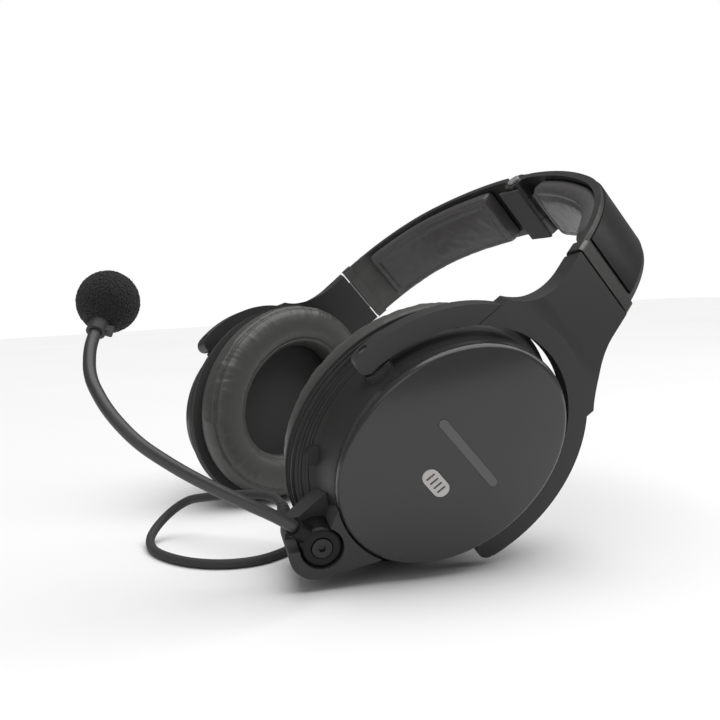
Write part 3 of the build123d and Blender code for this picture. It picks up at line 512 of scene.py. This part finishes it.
JOINTS = {joint["name"]: joint for joint in frame["joints"]}
REAR = Vector(JOINTS["left_cup_tilt"]["axis"]).normalized()
LEAN = atan2(-REAR.z, REAR.y)
TOE = radians(17)
MIDDLE = Vector((0, *JOINTS["left_cup_tilt"]["pos_m"][1:]))


def worn_dir(x: float, y: float, z: float) -> Vector:
    """A direction given as left, rear and crown, turned to how the headset lies."""
    return Vector((x, y * cos(LEAN) + z * sin(LEAN), z * cos(LEAN) - y * sin(LEAN)))


class CupFrame:
    """The place of a cup: its pivot, and its rear, up and outward directions."""

    def __init__(self, side: Side) -> None:
        """Finds the frame of one side's cup."""
        sign = side.value
        self.pivot = Vector(JOINTS[f"{side.word}_cup_tilt"]["pos_m"])
        self.out = worn_dir(sign * cos(TOE), 0, -sin(TOE))
        self.across = worn_dir(0, sign, 0)
        self.up = self.out.cross(self.across)
        self.matrix = placed(self.pivot, self.across, self.up, self.out)

    def point(self, across: float, up: float, out: float) -> Vector:
        """A point of the cup, in the row's frame."""
        return self.matrix @ Vector((across, up, out))


def placed(origin: Vector, x: Vector, y: Vector, z: Vector) -> Matrix:
    """The matrix that puts local X, Y and Z along three directions at an origin."""
    turned_axes = Matrix((x, y, z)).transposed().to_4x4()
    return Matrix.Translation(origin) @ turned_axes


def facing(origin: Vector, direction: Vector) -> Matrix:
    """The matrix that puts local Z along a direction at an origin."""
    turn = direction.to_track_quat("Z", "Y").to_matrix().to_4x4()
    return Matrix.Translation(origin) @ turn


def pick(piece: Piece) -> Piece:
    """Makes a piece the only one selected, and active."""
    bpy.ops.object.select_all(action="DESELECT")
    piece.select_set(True)
    bpy.context.view_layer.objects.active = piece
    return piece


def primitive(operator: Callable[..., object], name: str, **sizes: object) -> Piece:
    """Adds a primitive by itself and names it.

    Args:
        operator: one of the mesh primitive operators.
        name: the piece's name.
        sizes: what the operator is given.

    Returns:
        The new piece, selected alone.
    """
    bpy.ops.object.select_all(action="DESELECT")
    operator(**sizes)
    piece = bpy.context.object
    piece.name = name
    piece.data.name = name
    return piece


def settle(piece: Piece, matrix: Matrix, angle: float = 35.0) -> Piece:
    """Puts a piece's place into its mesh, faces it outward and smooths what isn't an edge."""
    pick(piece)
    bpy.ops.object.transform_apply(location=True, rotation=True, scale=True)
    piece.data.transform(matrix)
    bpy.ops.object.mode_set(mode="EDIT")
    bpy.ops.mesh.select_all(action="SELECT")
    bpy.ops.mesh.remove_doubles(threshold=1e-6)
    bpy.ops.mesh.normals_make_consistent(inside=False)
    bpy.ops.object.mode_set(mode="OBJECT")
    bpy.ops.object.shade_smooth_by_angle(angle=radians(angle))
    return piece


def turned(name: str, profile: Sequence[tuple[float, float]], segments: int = 48) -> Piece:
    """A solid made as on a lathe, by extruding a disc along Z and resizing it at each step.

    Args:
        name: the piece's name.
        profile: each (radius, height), from one end to the other.
        segments: how many sides the round has.

    Returns:
        The closed piece, along local Z.
    """
    radius, height = profile[0]
    piece = primitive(
        bpy.ops.mesh.primitive_circle_add, name, vertices=segments, radius=radius,
        fill_type="NGON", location=(0, 0, height),
    )
    bpy.ops.object.transform_apply(location=True)
    bpy.ops.object.mode_set(mode="EDIT")
    bpy.ops.mesh.select_all(action="SELECT")
    for (was_wide, was_high), (wide, high) in pairwise(profile):
        rise = {"value": (0, 0, high - was_high)}
        bpy.ops.mesh.extrude_region_move(TRANSFORM_OT_translate=rise)
        ratio = wide / was_wide
        bpy.ops.transform.resize(value=(ratio, ratio, 1), center_override=(0, 0, high))
    bpy.ops.object.mode_set(mode="OBJECT")
    return piece


def finish_with(piece: Piece, kind: str, **settings: object) -> Piece:
    """Adds a modifier to a piece and applies it."""
    modifier = piece.modifiers.new(kind.lower(), kind)
    for name, value in settings.items():
        setattr(modifier, name, value)
    pick(piece)
    bpy.ops.object.modifier_apply(modifier=modifier.name)
    return piece


def dress(piece: Piece, finish: Finish) -> Piece:
    """Gives a piece one finish all over.

    Args:
        piece: a new piece, or a node of the frame.
        finish: the finish.

    Returns:
        The same piece.
    """
    piece.data.materials.clear()
    piece.data.materials.append(finish.material())
    log.info("%s: %s", piece.name, finish.name)
    return piece


def dress_nodes(finish: Finish, *names: str) -> None:
    """Gives nodes of the frame one finish."""
    for name in names:
        dress(frame["nodes"][name], finish)


def reshape(piece: Piece, move: Callable[[Vector, Vector], Vector]) -> Piece:
    """Moves every point of a piece.

    Args:
        piece: the piece.
        move: gives a point's new place from its place and its normal.

    Returns:
        The same piece.
    """
    vertices = piece.data.vertices
    new = [move(vertex.co.copy(), vertex.normal.copy()) for vertex in vertices]
    for vertex, place in zip(vertices, new):
        vertex.co = place
    piece.data.update()
    return piece


@dataclass(frozen=True)
class Padding:
    """How a skin is filled: swollen by pressure as sewn padding is, then smoothed."""

    voxel: float = 2.0 * MM
    pressure: float = 4.0
    most: float = 1.3 * MM
    frames: int = 20

    def fill(self, piece: Piece, held: Callable[[Vector], bool]) -> Piece:
        """Swells a closed skin.

        Args:
            piece: the skin.
            held: says which points stay where they are sewn or glued.

        Returns:
            The same piece, with the swelling in its mesh.
        """
        finish_with(piece, "REMESH", mode="VOXEL", voxel_size=self.voxel, use_smooth_shade=True)
        self.swell(piece, held)
        return finish_with(piece, "SUBSURF", levels=1, render_levels=1)

    def swell(self, piece: Piece, held: Callable[[Vector], bool]) -> None:
        """Runs the cloth and keeps where its points end, no further than the most allowed."""
        start = [vertex.co.copy() for vertex in piece.data.vertices]
        group = piece.vertex_groups.new(name="held")
        group.add([i for i, place in enumerate(start) if held(place)], 1.0, "REPLACE")
        cloth = piece.modifiers.new("cloth", "CLOTH")
        cloth.settings.quality = 6
        cloth.settings.mass = 0.1
        cloth.settings.vertex_group_mass = "held"
        cloth.settings.use_pressure = True
        cloth.settings.uniform_pressure_force = self.pressure
        cloth.settings.effector_weights.gravity = 0.0
        cloth.point_cache.frame_start = 1
        cloth.point_cache.frame_end = self.frames
        scene = bpy.context.scene
        for step in range(1, self.frames + 1):
            scene.frame_set(step)
        posed = piece.evaluated_get(bpy.context.evaluated_depsgraph_get())
        ends = [vertex.co.copy() for vertex in posed.data.vertices]
        piece.modifiers.remove(cloth)
        piece.vertex_groups.remove(group)
        scene.frame_set(1)
        for vertex, before, after in zip(piece.data.vertices, start, ends):
            shift = after - before
            if shift.length > self.most:
                shift = shift.normalized() * self.most
            vertex.co = before + shift


# Studio and cords ---------------------------------------------------------------------------


@dataclass
class Studio:
    """The camera, the floor, the white surround and the soft lights."""

    azimuth: float = 65.0
    elevation: float = 4.04
    roll: float = -2.82
    distance: float = 0.4
    lens: float = 47.75
    aim_right: float = 10.51 * MM
    aim_up: float = 24.2 * MM
    floor_half: float = 3.0
    key: float = 2.75
    fill: float = 1.0
    rim: float = 1.5
    surround: float = 0.22
    overhead_angle: float = radians(70)
    overhead_way: Point = (-0.1, -0.2, -1.0)
    lit_height: float = 60.0 * MM

    def build(self) -> None:
        """Sets the camera, then the stage and the lights."""
        self.camera()
        self.floor()
        self.lights()

    def axes(self) -> tuple[Vector, Vector, Vector]:
        """The camera's right, up and back directions."""
        round_by, rise, roll = radians(self.azimuth), radians(self.elevation), radians(self.roll)
        back = Vector((sin(round_by) * cos(rise), -cos(round_by) * cos(rise), sin(rise)))
        level = Vector((cos(round_by), sin(round_by), 0))
        above = back.cross(level)
        right = level * cos(roll) + above * sin(roll)
        return right, back.cross(right), back

    def camera(self) -> None:
        """Places the camera and makes it the scene's."""
        right, up, back = self.axes()
        target = MIDDLE + right * self.aim_right + up * self.aim_up
        lens = bpy.data.cameras.new("camera")
        lens.lens = self.lens
        lens.sensor_width = 36.0
        lens.clip_start = 0.01
        seen = bpy.data.objects.new("camera", lens)
        seen.matrix_world = placed(target + back * self.distance, right, up, back)
        bpy.context.scene.collection.objects.link(seen)
        bpy.context.scene.camera = seen

    def floor(self) -> None:
        """A wide, plain, pale floor."""
        piece = primitive(
            bpy.ops.mesh.primitive_plane_add, "floor", size=2 * self.floor_half, location=(0, 0, 0)
        )
        wiring = Wiring("floor_paper")
        tone = wiring.spread(wiring.noise(3, 2), 0.0, 1.0)
        wiring.surface(Base_Color=wiring.tint(tone, (0.86, 0.86, 0.86), (0.88, 0.88, 0.88)), Roughness=0.9)
        wiring.relief((wiring.noise(900, 2), 0.02 * MM))
        piece.data.materials.append(wiring.material)

    def lights(self) -> None:
        """An even light overhead, a softbox at each side, and a white surround that lights little."""
        self.overhead()
        self.softbox("near_left", (0.75, -0.65, 0.55), 0.5, self.fill)
        self.softbox("far_rear", (0.35, 0.85, 0.6), 0.45, self.rim)
        world = bpy.data.worlds.new("surround")
        world.use_nodes = True
        tree = world.node_tree
        sky = tree.nodes["Background"]
        sky.inputs["Color"].default_value = (1, 1, 1, 1)
        seen = tree.nodes.new("ShaderNodeLightPath")
        strength = tree.nodes.new("ShaderNodeMapRange")
        strength.inputs["To Min"].default_value = self.surround
        strength.inputs["To Max"].default_value = 1.0
        tree.links.new(seen.outputs["Is Camera Ray"], strength.inputs["Value"])
        tree.links.new(strength.outputs["Result"], sky.inputs["Strength"])
        bpy.context.scene.world = world
        bpy.context.scene.view_settings.view_transform = "Standard"

    def overhead(self) -> None:
        """An even, very soft light from above, which falls on the whole floor alike."""
        lamp = bpy.data.lights.new("overhead", "SUN")
        lamp.energy = self.key
        lamp.angle = self.overhead_angle
        panel = bpy.data.objects.new("overhead", lamp)
        panel.rotation_mode = "QUATERNION"
        panel.rotation_quaternion = Vector(self.overhead_way).to_track_quat("-Z", "Y")
        bpy.context.scene.collection.objects.link(panel)

    def softbox(self, name: str, place: Point, size: float, power: float) -> None:
        """A square area light that faces the headset.

        Args:
            name: the light's name.
            place: where it stands.
            size: its side.
            power: its strength in watts.
        """
        lamp = bpy.data.lights.new(name, "AREA")
        lamp.shape = "SQUARE"
        lamp.size = size
        lamp.energy = power
        box = bpy.data.objects.new(name, lamp)
        box.location = place
        aim = Vector((0, 0, self.lit_height)) - Vector(place)
        box.rotation_mode = "QUATERNION"
        box.rotation_quaternion = aim.to_track_quat("-Z", "Y")
        bpy.context.scene.collection.objects.link(box)


VISIBLE_POINTS = [
    (0.0291, -0.0403, 0.0206), (0.0185, -0.046, 0.0208), (0.0075, -0.054, 0.0195),
    (-0.003, -0.061, 0.0176), (-0.012, -0.0639, 0.0156), (-0.0165, -0.069, 0.0119),
    (-0.0165, -0.0753, 0.0071), (-0.0115, -0.0806, 0.0033), (-0.0035, -0.0828, 0.0018),
    (0.008, -0.0835, 0.0018), (0.02, -0.081, 0.0018), (0.032, -0.0755, 0.0018),
    (0.041, -0.066, 0.0018), (0.0435, -0.054, 0.0018), (0.038, -0.0425, 0.0018),
    (0.029, -0.0315, 0.0018), (0.02, -0.019, 0.0018), (0.0115, -0.0045, 0.0018),
    (0.0035, 0.011, 0.0018), (-0.004, 0.027, 0.0018), (-0.0105, 0.044, 0.0018),
    (-0.018, 0.06, 0.0018), (-0.029, 0.0735, 0.0018),
]
TAIL_POINTS = [
    (-0.085, 0.127, 0.0034), (-0.093, 0.1215, 0.006), (-0.099, 0.115, 0.0086), (-0.104, 0.112, 0.01),
]
HEADPHONE_LEAD = [
    (-0.176, 0.117, 0.0095), (-0.187, 0.118, 0.0065), (-0.197, 0.1225, 0.0025),
    (-0.203, 0.132, 0.0016), (-0.202, 0.1435, 0.0016), (-0.1945, 0.152, 0.0025),
    (-0.184, 0.1545, 0.0055), (-0.173, 0.1545, 0.007),
]
MIC_LEAD = [
    (-0.176, 0.103, 0.0095), (-0.188, 0.103, 0.006), (-0.2, 0.106, 0.002), (-0.21, 0.114, 0.0016),
    (-0.216, 0.126, 0.0016), (-0.218, 0.14, 0.0016), (-0.215, 0.154, 0.0016),
    (-0.207, 0.166, 0.0016), (-0.196, 0.1735, 0.003), (-0.1845, 0.1755, 0.0055),
    (-0.173, 0.1755, 0.007),
]


@dataclass
class Cable:
    """The cable with its coil, the strain relief, the two leads and their plugs."""

    thick: float = 3.5 * MM
    lead_thick: float = 3.0 * MM
    relief_across: float = -6.0 * MM
    relief_up: float = -59.3 * MM
    relief_from: float = -8.0 * MM
    relief_long: float = 27.0 * MM
    relief_root: float = 3.0 * MM
    relief_tip: float = 2.3 * MM
    relief_rings: int = 8
    slot_deep: float = 0.45 * MM
    coil_middle: tuple[float, float] = (-0.062, 0.106)
    coil_radius: float = 19.1 * MM
    coil_pitch: float = 3.65 * MM
    turn_points: int = 16
    plug_black: Point = (0.014, 0.014, 0.0145)
    plug_rough: float = 0.42

    # each turn's place in the coil, as (column from the middle, layer)
    windings: tuple[tuple[int, int], ...] = (
        (1, 0), (0, 0), (-1, 0), (-1, 1), (-1, 2), (0, 2), (0, 1), (1, 1), (1, 2), (1, 2),
    )

    def build(self) -> None:
        sleeve = self.strain_relief()
        deep = self.relief_from - self.relief_long
        tip = CupFrame(Side.LEFT).point(self.relief_across, self.relief_up, deep)
        route = [tuple(tip), *VISIBLE_POINTS, *self.coil_turns(), *TAIL_POINTS]
        cable = self.smooth_cord("cable", route, self.thick)
        self.hang(cable, "cable_run", "cable_coil")
        leads = (("headphone", HEADPHONE_LEAD, 0.078), ("mic", MIC_LEAD, 0.13))
        for word, points, length in leads:
            lead = self.smooth_cord(f"{word}_lead_cord", points, self.lead_thick)
            self.hang(lead, f"{word}_lead")
            plug = frame["nodes"][f"{word}_plug"]
            shell = PlugFinish(f"{word}_plug_finish", self.plug_black, self.plug_rough, start=points[-1])
            dress(plug, shell)

    def hang(self, piece: Piece, *nodes: str) -> None:
        """Dresses a cord, rides it on the left cup and lets it stand for its nodes."""
        dress(piece, CABLE_RUBBER)
        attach(piece, "left_cup")
        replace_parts(piece, *nodes)

    def smooth_cord(self, name: str, points: Iterable[Point], thick: float) -> Piece:
        """One smooth line through a route's points, with a round section.

        Args:
            name: the piece's name.
            points: the route.
            thick: the cord's diameter.

        Returns:
            The curve.
        """
        route = list(points)
        curve = bpy.data.curves.new(name, "CURVE")
        curve.dimensions = "3D"
        spline = curve.splines.new("NURBS")
        spline.points.add(len(route) - 1)
        for control, place in zip(spline.points, route):
            control.co = (*place, 1.0)
        spline.order_u = 3
        spline.use_endpoint_u = True
        spline.resolution_u = 6
        curve.bevel_depth = thick / 2
        curve.bevel_resolution = 4
        curve.use_fill_caps = True
        cord = bpy.data.objects.new(name, curve)
        bpy.context.scene.collection.objects.link(cord)
        return cord

    def coil_turns(self) -> list[Point]:
        """The turns of the coil, each beside or on another, a little over a diameter apart."""
        points: list[Point] = []
        x, y = self.coil_middle
        for turn, (here, there) in enumerate(pairwise(self.windings)):
            last = turn == len(self.windings) - 2
            steps = self.turn_points + self.turn_points // 4 if last else self.turn_points
            for step in range(steps):
                share = min(1.0, step / self.turn_points)
                column = here[0] + (there[0] - here[0]) * share
                layer = here[1] + (there[1] - here[1]) * share
                angle = 2 * pi * step / self.turn_points
                radius = self.coil_radius + column * self.coil_pitch
                height = self.thick / 2 + 0.05 * MM + layer * self.coil_pitch
                points.append((x + radius * cos(angle), y + radius * sin(angle), height))
        return points

    def strain_relief(self) -> Piece:
        """The tapered rubber sleeve at the pod, with its rings of slots."""
        step = self.relief_long / self.relief_rings
        profile = [(self.relief_root, 0.0)]
        for ring in range(self.relief_rings):
            start = ring * step
            share = (ring + 0.5) / self.relief_rings
            taper = self.relief_root + (self.relief_tip - self.relief_root) * share
            groove = taper - self.slot_deep
            profile += [
                (taper, start + 0.35 * MM), (taper, start + step * 0.58),
                (groove, start + step * 0.68), (groove, start + step * 0.92),
            ]
        profile.append((self.relief_tip, self.relief_long))
        sleeve = turned("strain_relief_sleeve", profile)
        cup = CupFrame(Side.LEFT)
        root = cup.point(self.relief_across, self.relief_up, self.relief_from)
        finish_with(sleeve, "BEVEL", width=0.15 * MM, segments=2, limit_method="ANGLE")
        settle(sleeve, facing(root, -cup.out))
        dress(sleeve, CABLE_RUBBER)
        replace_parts(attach(sleeve, "left_cup"), "strain_relief")
        return sleeve


# Soft pieces --------------------------------------------------------------------------------


@dataclass
class EarCushions:
    """The two ear cushions: plump leather rings with a seam round the outer edge."""

    mid_long: float = 31.0 * MM
    mid_high: float = 40.5 * MM
    half_wide: float = 9.7 * MM
    half_deep: float = 8.6 * MM
    middle_out: float = -28.0 * MM
    back_out: float = -19.2 * MM
    drop: float = 4.0 * MM
    seam_turn: float = radians(218)
    pucker: float = 0.35 * MM
    square: float = 0.78

    def build(self) -> None:
        """Makes one cushion and copies it to the other cup."""
        first = self.ring()
        for side in Side:
            piece = pick(first)
            bpy.ops.object.duplicate()
            piece = bpy.context.object
            piece.name = f"{side.word}_cushion_ring"
            settle(piece, CupFrame(side).matrix, 60)
            dress(piece, CUSHION_LEATHER)
            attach(piece, f"{side.word}_cup")
            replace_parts(piece, f"{side.word}_ear_cushion")
        bpy.data.objects.remove(first)

    def section(self, place: Vector) -> tuple[float, float]:
        """The angle round the ring and the angle round its section, of a place on it."""
        x, y = place.x / self.mid_long, (place.y + self.drop) / self.mid_high
        turn = atan2(y, x)
        middle = Vector((self.mid_long * cos(turn), self.mid_high * sin(turn) - self.drop, 0))
        flat = Vector((place.x, place.y, 0)) - middle
        outward = flat.dot(Vector((cos(turn) * self.mid_high, sin(turn) * self.mid_long, 0)).normalized())
        return turn, atan2(place.z - self.middle_out, outward)

    def ring(self) -> Piece:
        """The cushion in the cup's own frame, swollen and sewn."""
        piece = primitive(
            bpy.ops.mesh.primitive_torus_add, "cushion", major_segments=120, minor_segments=32,
            major_radius=1.0, minor_radius=0.25,
        )
        reshape(piece, self.to_ellipse)
        Padding().fill(piece, lambda place: place.z > self.back_out - 1.6 * MM)
        finish_with(piece, "SUBSURF", levels=1, render_levels=1)
        return reshape(piece, self.sewn)

    def to_ellipse(self, place: Vector, normal: Vector) -> Vector:
        """A plain ring's point, moved onto the cushion's rounded section."""
        turn = atan2(place.y, place.x)
        round_by = atan2(place.z, hypot(place.x, place.y) - 1.0)
        wide = copysign(abs(cos(round_by)) ** self.square, cos(round_by)) * self.half_wide
        deep = copysign(abs(sin(round_by)) ** self.square, sin(round_by)) * self.half_deep
        outward = Vector((cos(turn) * self.mid_high, sin(turn) * self.mid_long, 0)).normalized()
        middle = Vector((self.mid_long * cos(turn), self.mid_high * sin(turn) - self.drop, self.middle_out))
        return middle + outward * wide + Vector((0, 0, deep))

    def sewn(self, place: Vector, normal: Vector) -> Vector:
        """Draws in the seam, puckers the leather beside it and flattens the back."""
        turn, round_by = self.section(place)
        past = (round_by % (2 * pi)) - self.seam_turn
        outer = (round_by % (2 * pi)) - (3 * pi - self.seam_turn)
        seam = 0.9 * MM * exp(-((outer / 0.085) ** 2)) + 0.5 * MM * exp(-((past / 0.07) ** 2))
        folds = noise.noise(Vector((cos(turn) * 9, sin(turn) * 9, round_by * 0.7)))
        fine = noise.noise(Vector((cos(turn) * 26, sin(turn) * 26, round_by * 1.1)))
        beside = exp(-((outer / 0.7) ** 2)) + 0.5 * exp(-((past / 0.5) ** 2))
        moved = place - normal * (seam - self.pucker * beside * (folds + 0.6 * fine))
        moved.z = min(moved.z, self.back_out)
        return moved


@dataclass
class BandPads:
    """The two soft pads inside the headband, crowned and sewn round their edges."""

    crown_z: float = 138.0 * MM
    crown_r: float = 150.0 * MM
    shoulder_r: float = 61.6 * MM
    shoulder_at: float = radians(24)
    starts: float = radians(7.7)
    ends: float = radians(65.8)
    half_wide: float = 13.4 * MM
    back: float = -1.75 * MM
    face: float = -9.6 * MM

    def build(self) -> None:
        """Makes a pad for each half of the headband."""
        for side in Side:
            piece = self.pad(side)
            dress(piece, PAD_LEATHER)
            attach(piece, f"{side.word}_band")
            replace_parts(piece, f"{side.word}_band_pad")

    def arch(self, angle: float, lift: float) -> Vector:
        """A point of the headband's plane: an angle from the crown, and a height over its middle."""
        first = min(angle, self.shoulder_at)
        start = Vector((0, self.crown_z - self.crown_r))
        if angle <= self.shoulder_at:
            return start + Vector((sin(first), cos(first))) * (self.crown_r + lift)
        shoulder = start + Vector((sin(first), cos(first))) * (self.crown_r - self.shoulder_r)
        return shoulder + Vector((sin(angle), cos(angle))) * (self.shoulder_r + lift)

    def pad(self, side: Side) -> Piece:
        """One pad: a block bent along the arch, swollen, then sewn."""
        piece = primitive(bpy.ops.mesh.primitive_cube_add, f"{side.word}_pad_soft", size=2.0)
        bpy.ops.object.mode_set(mode="EDIT")
        bpy.ops.mesh.select_all(action="SELECT")
        bpy.ops.mesh.subdivide(number_cuts=40)
        bpy.ops.object.mode_set(mode="OBJECT")
        reshape(piece, self.flat_block)
        Padding(voxel=1.8 * MM, most=1.0 * MM).fill(piece, lambda place: place.z > self.back - 1.0 * MM)
        reshape(piece, self.sewn)
        sign = side.value
        matrix = placed(MIDDLE, worn_dir(sign, 0, 0), worn_dir(0, 0, 1), worn_dir(0, -sign, 0))
        reshape(piece, self.bent)
        return settle(piece, matrix, 60)

    @property
    def reach(self) -> float:
        """The length of the pad along the arch, at its middle line."""
        over_crown = self.crown_r * (self.shoulder_at - self.starts)
        return over_crown + self.shoulder_r * (self.ends - self.shoulder_at)

    def flat_block(self, place: Vector, normal: Vector) -> Vector:
        """A cube's point, moved onto the flat pad: along X, across Y and thick Z."""
        ends = 1 - 0.02 * abs(place.y) ** 6
        low, high = self.face, self.back
        crown = 1 - 0.22 * abs(place.y) ** 4
        middle = (low + high) / 2
        depth = (high - low) / 2 * (crown if place.z < 0 else 1.0)
        return Vector((place.x * ends * self.reach / 2, place.y * self.half_wide, middle + place.z * depth))

    def sewn(self, place: Vector, normal: Vector) -> Vector:
        """Draws in a seam along each edge and across each end, and dimples the face a little."""
        inside = min(self.half_wide - abs(place.y), self.reach / 2 - abs(place.x))
        seam = 0.7 * MM * exp(-(((inside - 3.2 * MM) / (0.7 * MM)) ** 2))
        soft = noise.noise(place * 260) * 0.25 * MM
        if place.z > (self.back + self.face) / 2:
            return place
        return place - normal * (seam - soft)

    def bent(self, place: Vector, normal: Vector) -> Vector:
        """The flat pad's point, bent along the arch of the headband."""
        along = place.x + self.reach / 2
        crown_part = self.crown_r * (self.shoulder_at - self.starts)
        if along <= crown_part:
            angle = self.starts + along / self.crown_r
        else:
            angle = self.shoulder_at + (along - crown_part) / self.shoulder_r
        spot = self.arch(angle, place.z)
        return Vector((spot.x, spot.y, place.y))


@dataclass
class Windscreen:
    """The foam ball over the microphone, with a lip where the clip goes in."""

    radius: float = 10.2 * MM
    reach: float = 9.5 * MM
    lip: float = 9.4 * MM
    rough: float = 0.22 * MM

    def build(self) -> None:
        """Makes the ball and sets it on the boom's end."""
        piece = primitive(
            bpy.ops.mesh.primitive_ico_sphere_add, "foam_ball", subdivisions=7, radius=self.radius
        )
        reshape(piece, self.lumpy)
        joint = JOINTS["mic_turn"]
        along = Vector(joint["axis"]).normalized()
        middle = Vector(joint["pos_m"]) + along * self.reach
        settle(piece, facing(middle, along), 80)
        dress(piece, FOAM_BLACK)
        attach(piece, "microphone")
        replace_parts(piece, "windscreen")

    def lumpy(self, place: Vector, normal: Vector) -> Vector:
        """Roughens the ball as cut foam is, and flattens it round the socket."""
        height = noise.noise(place * 1500) + 0.5 * noise.noise(place * 3100)
        moved = place + normal * height * self.rough
        if moved.z < -self.lip:
            moved.z = -self.lip + 0.3 * (moved.z + self.lip)
        return moved


# Hard pieces of the frame -------------------------------------------------------------------


@dataclass
class HardPieces:
    """The finishes of the pieces whose shape the frame already has."""

    def build(self) -> None:
        """Dresses the cups, the yokes, the headband, the boom and the control box."""
        for side in Side:
            self.cup(side)
            self.band(side)
        dress_nodes(STEEL, "hinge_pin", "hinge_spring")
        dress_nodes(STEEL_DARK, "boom_pivot_screw")
        dress_nodes(SHELL_BLACK, "hinge_cover", "mic_pod", "mic_capsule", "control_box")
        dress_nodes(KNUCKLE_GREY, "boom_knuckle")
        dress_nodes(BOOM_BLACK, "boom_tube")
        dress_nodes(PALE_PLASTIC, "power_button")
        dress_nodes(CLIP_GREY, "mic_clip")
        dress_nodes(CABLE_RUBBER, "front_volume_wheel", "rear_volume_wheel")

    def cup(self, side: Side) -> None:
        """Dresses a cup and its yoke."""
        word = side.word
        ribbed = RibbedShell(f"{word}_housing_shell", (0.03, 0.0295, 0.029), 0.4, side=side)
        dress_nodes(ribbed, f"{word}_housing")
        dress_nodes(SHELL_BLACK, f"{word}_cushion_flange", f"{word}_baffle")
        dress_nodes(STEEL, f"{word}_flange_screws", f"{word}_driver", f"{word}_pivot_pins")
        dress_nodes(CAP_GLOSS, f"{word}_cap")
        dress_nodes(INLAY_DARK, f"{word}_inlay")
        dress_nodes(PALE_PLASTIC, f"{word}_vent_grille")
        dress_nodes(SCRIM_CLOTH, f"{word}_scrim")
        dress_nodes(CONE_FILM, f"{word}_driver_cone")
        dress_nodes(BOARD_GREEN, f"{word}_anr_board")
        dress_nodes(YOKE_BLACK, f"{word}_yoke")

    def band(self, side: Side) -> None:
        """Dresses a half of the headband."""
        word = side.word
        dress_nodes(TRIM_SATIN, f"{word}_band_frame", f"{word}_band_collar")
        dress_nodes(COVER_GLOSS, f"{word}_band_cover")
        dress_nodes(STEEL, f"{word}_slide_rail")


def main() -> None:
    """Builds the studio, the cords, the soft pieces and the finishes, in that order."""
    logging.basicConfig(level=logging.INFO, format="%(name)s: %(message)s")
    for part in (Studio(), Cable(), EarCushions(), BandPads(), Windscreen(), HardPieces()):
        log.info("building %s", type(part).__name__)
        part.build()


if __name__ == "__main__":
    main()
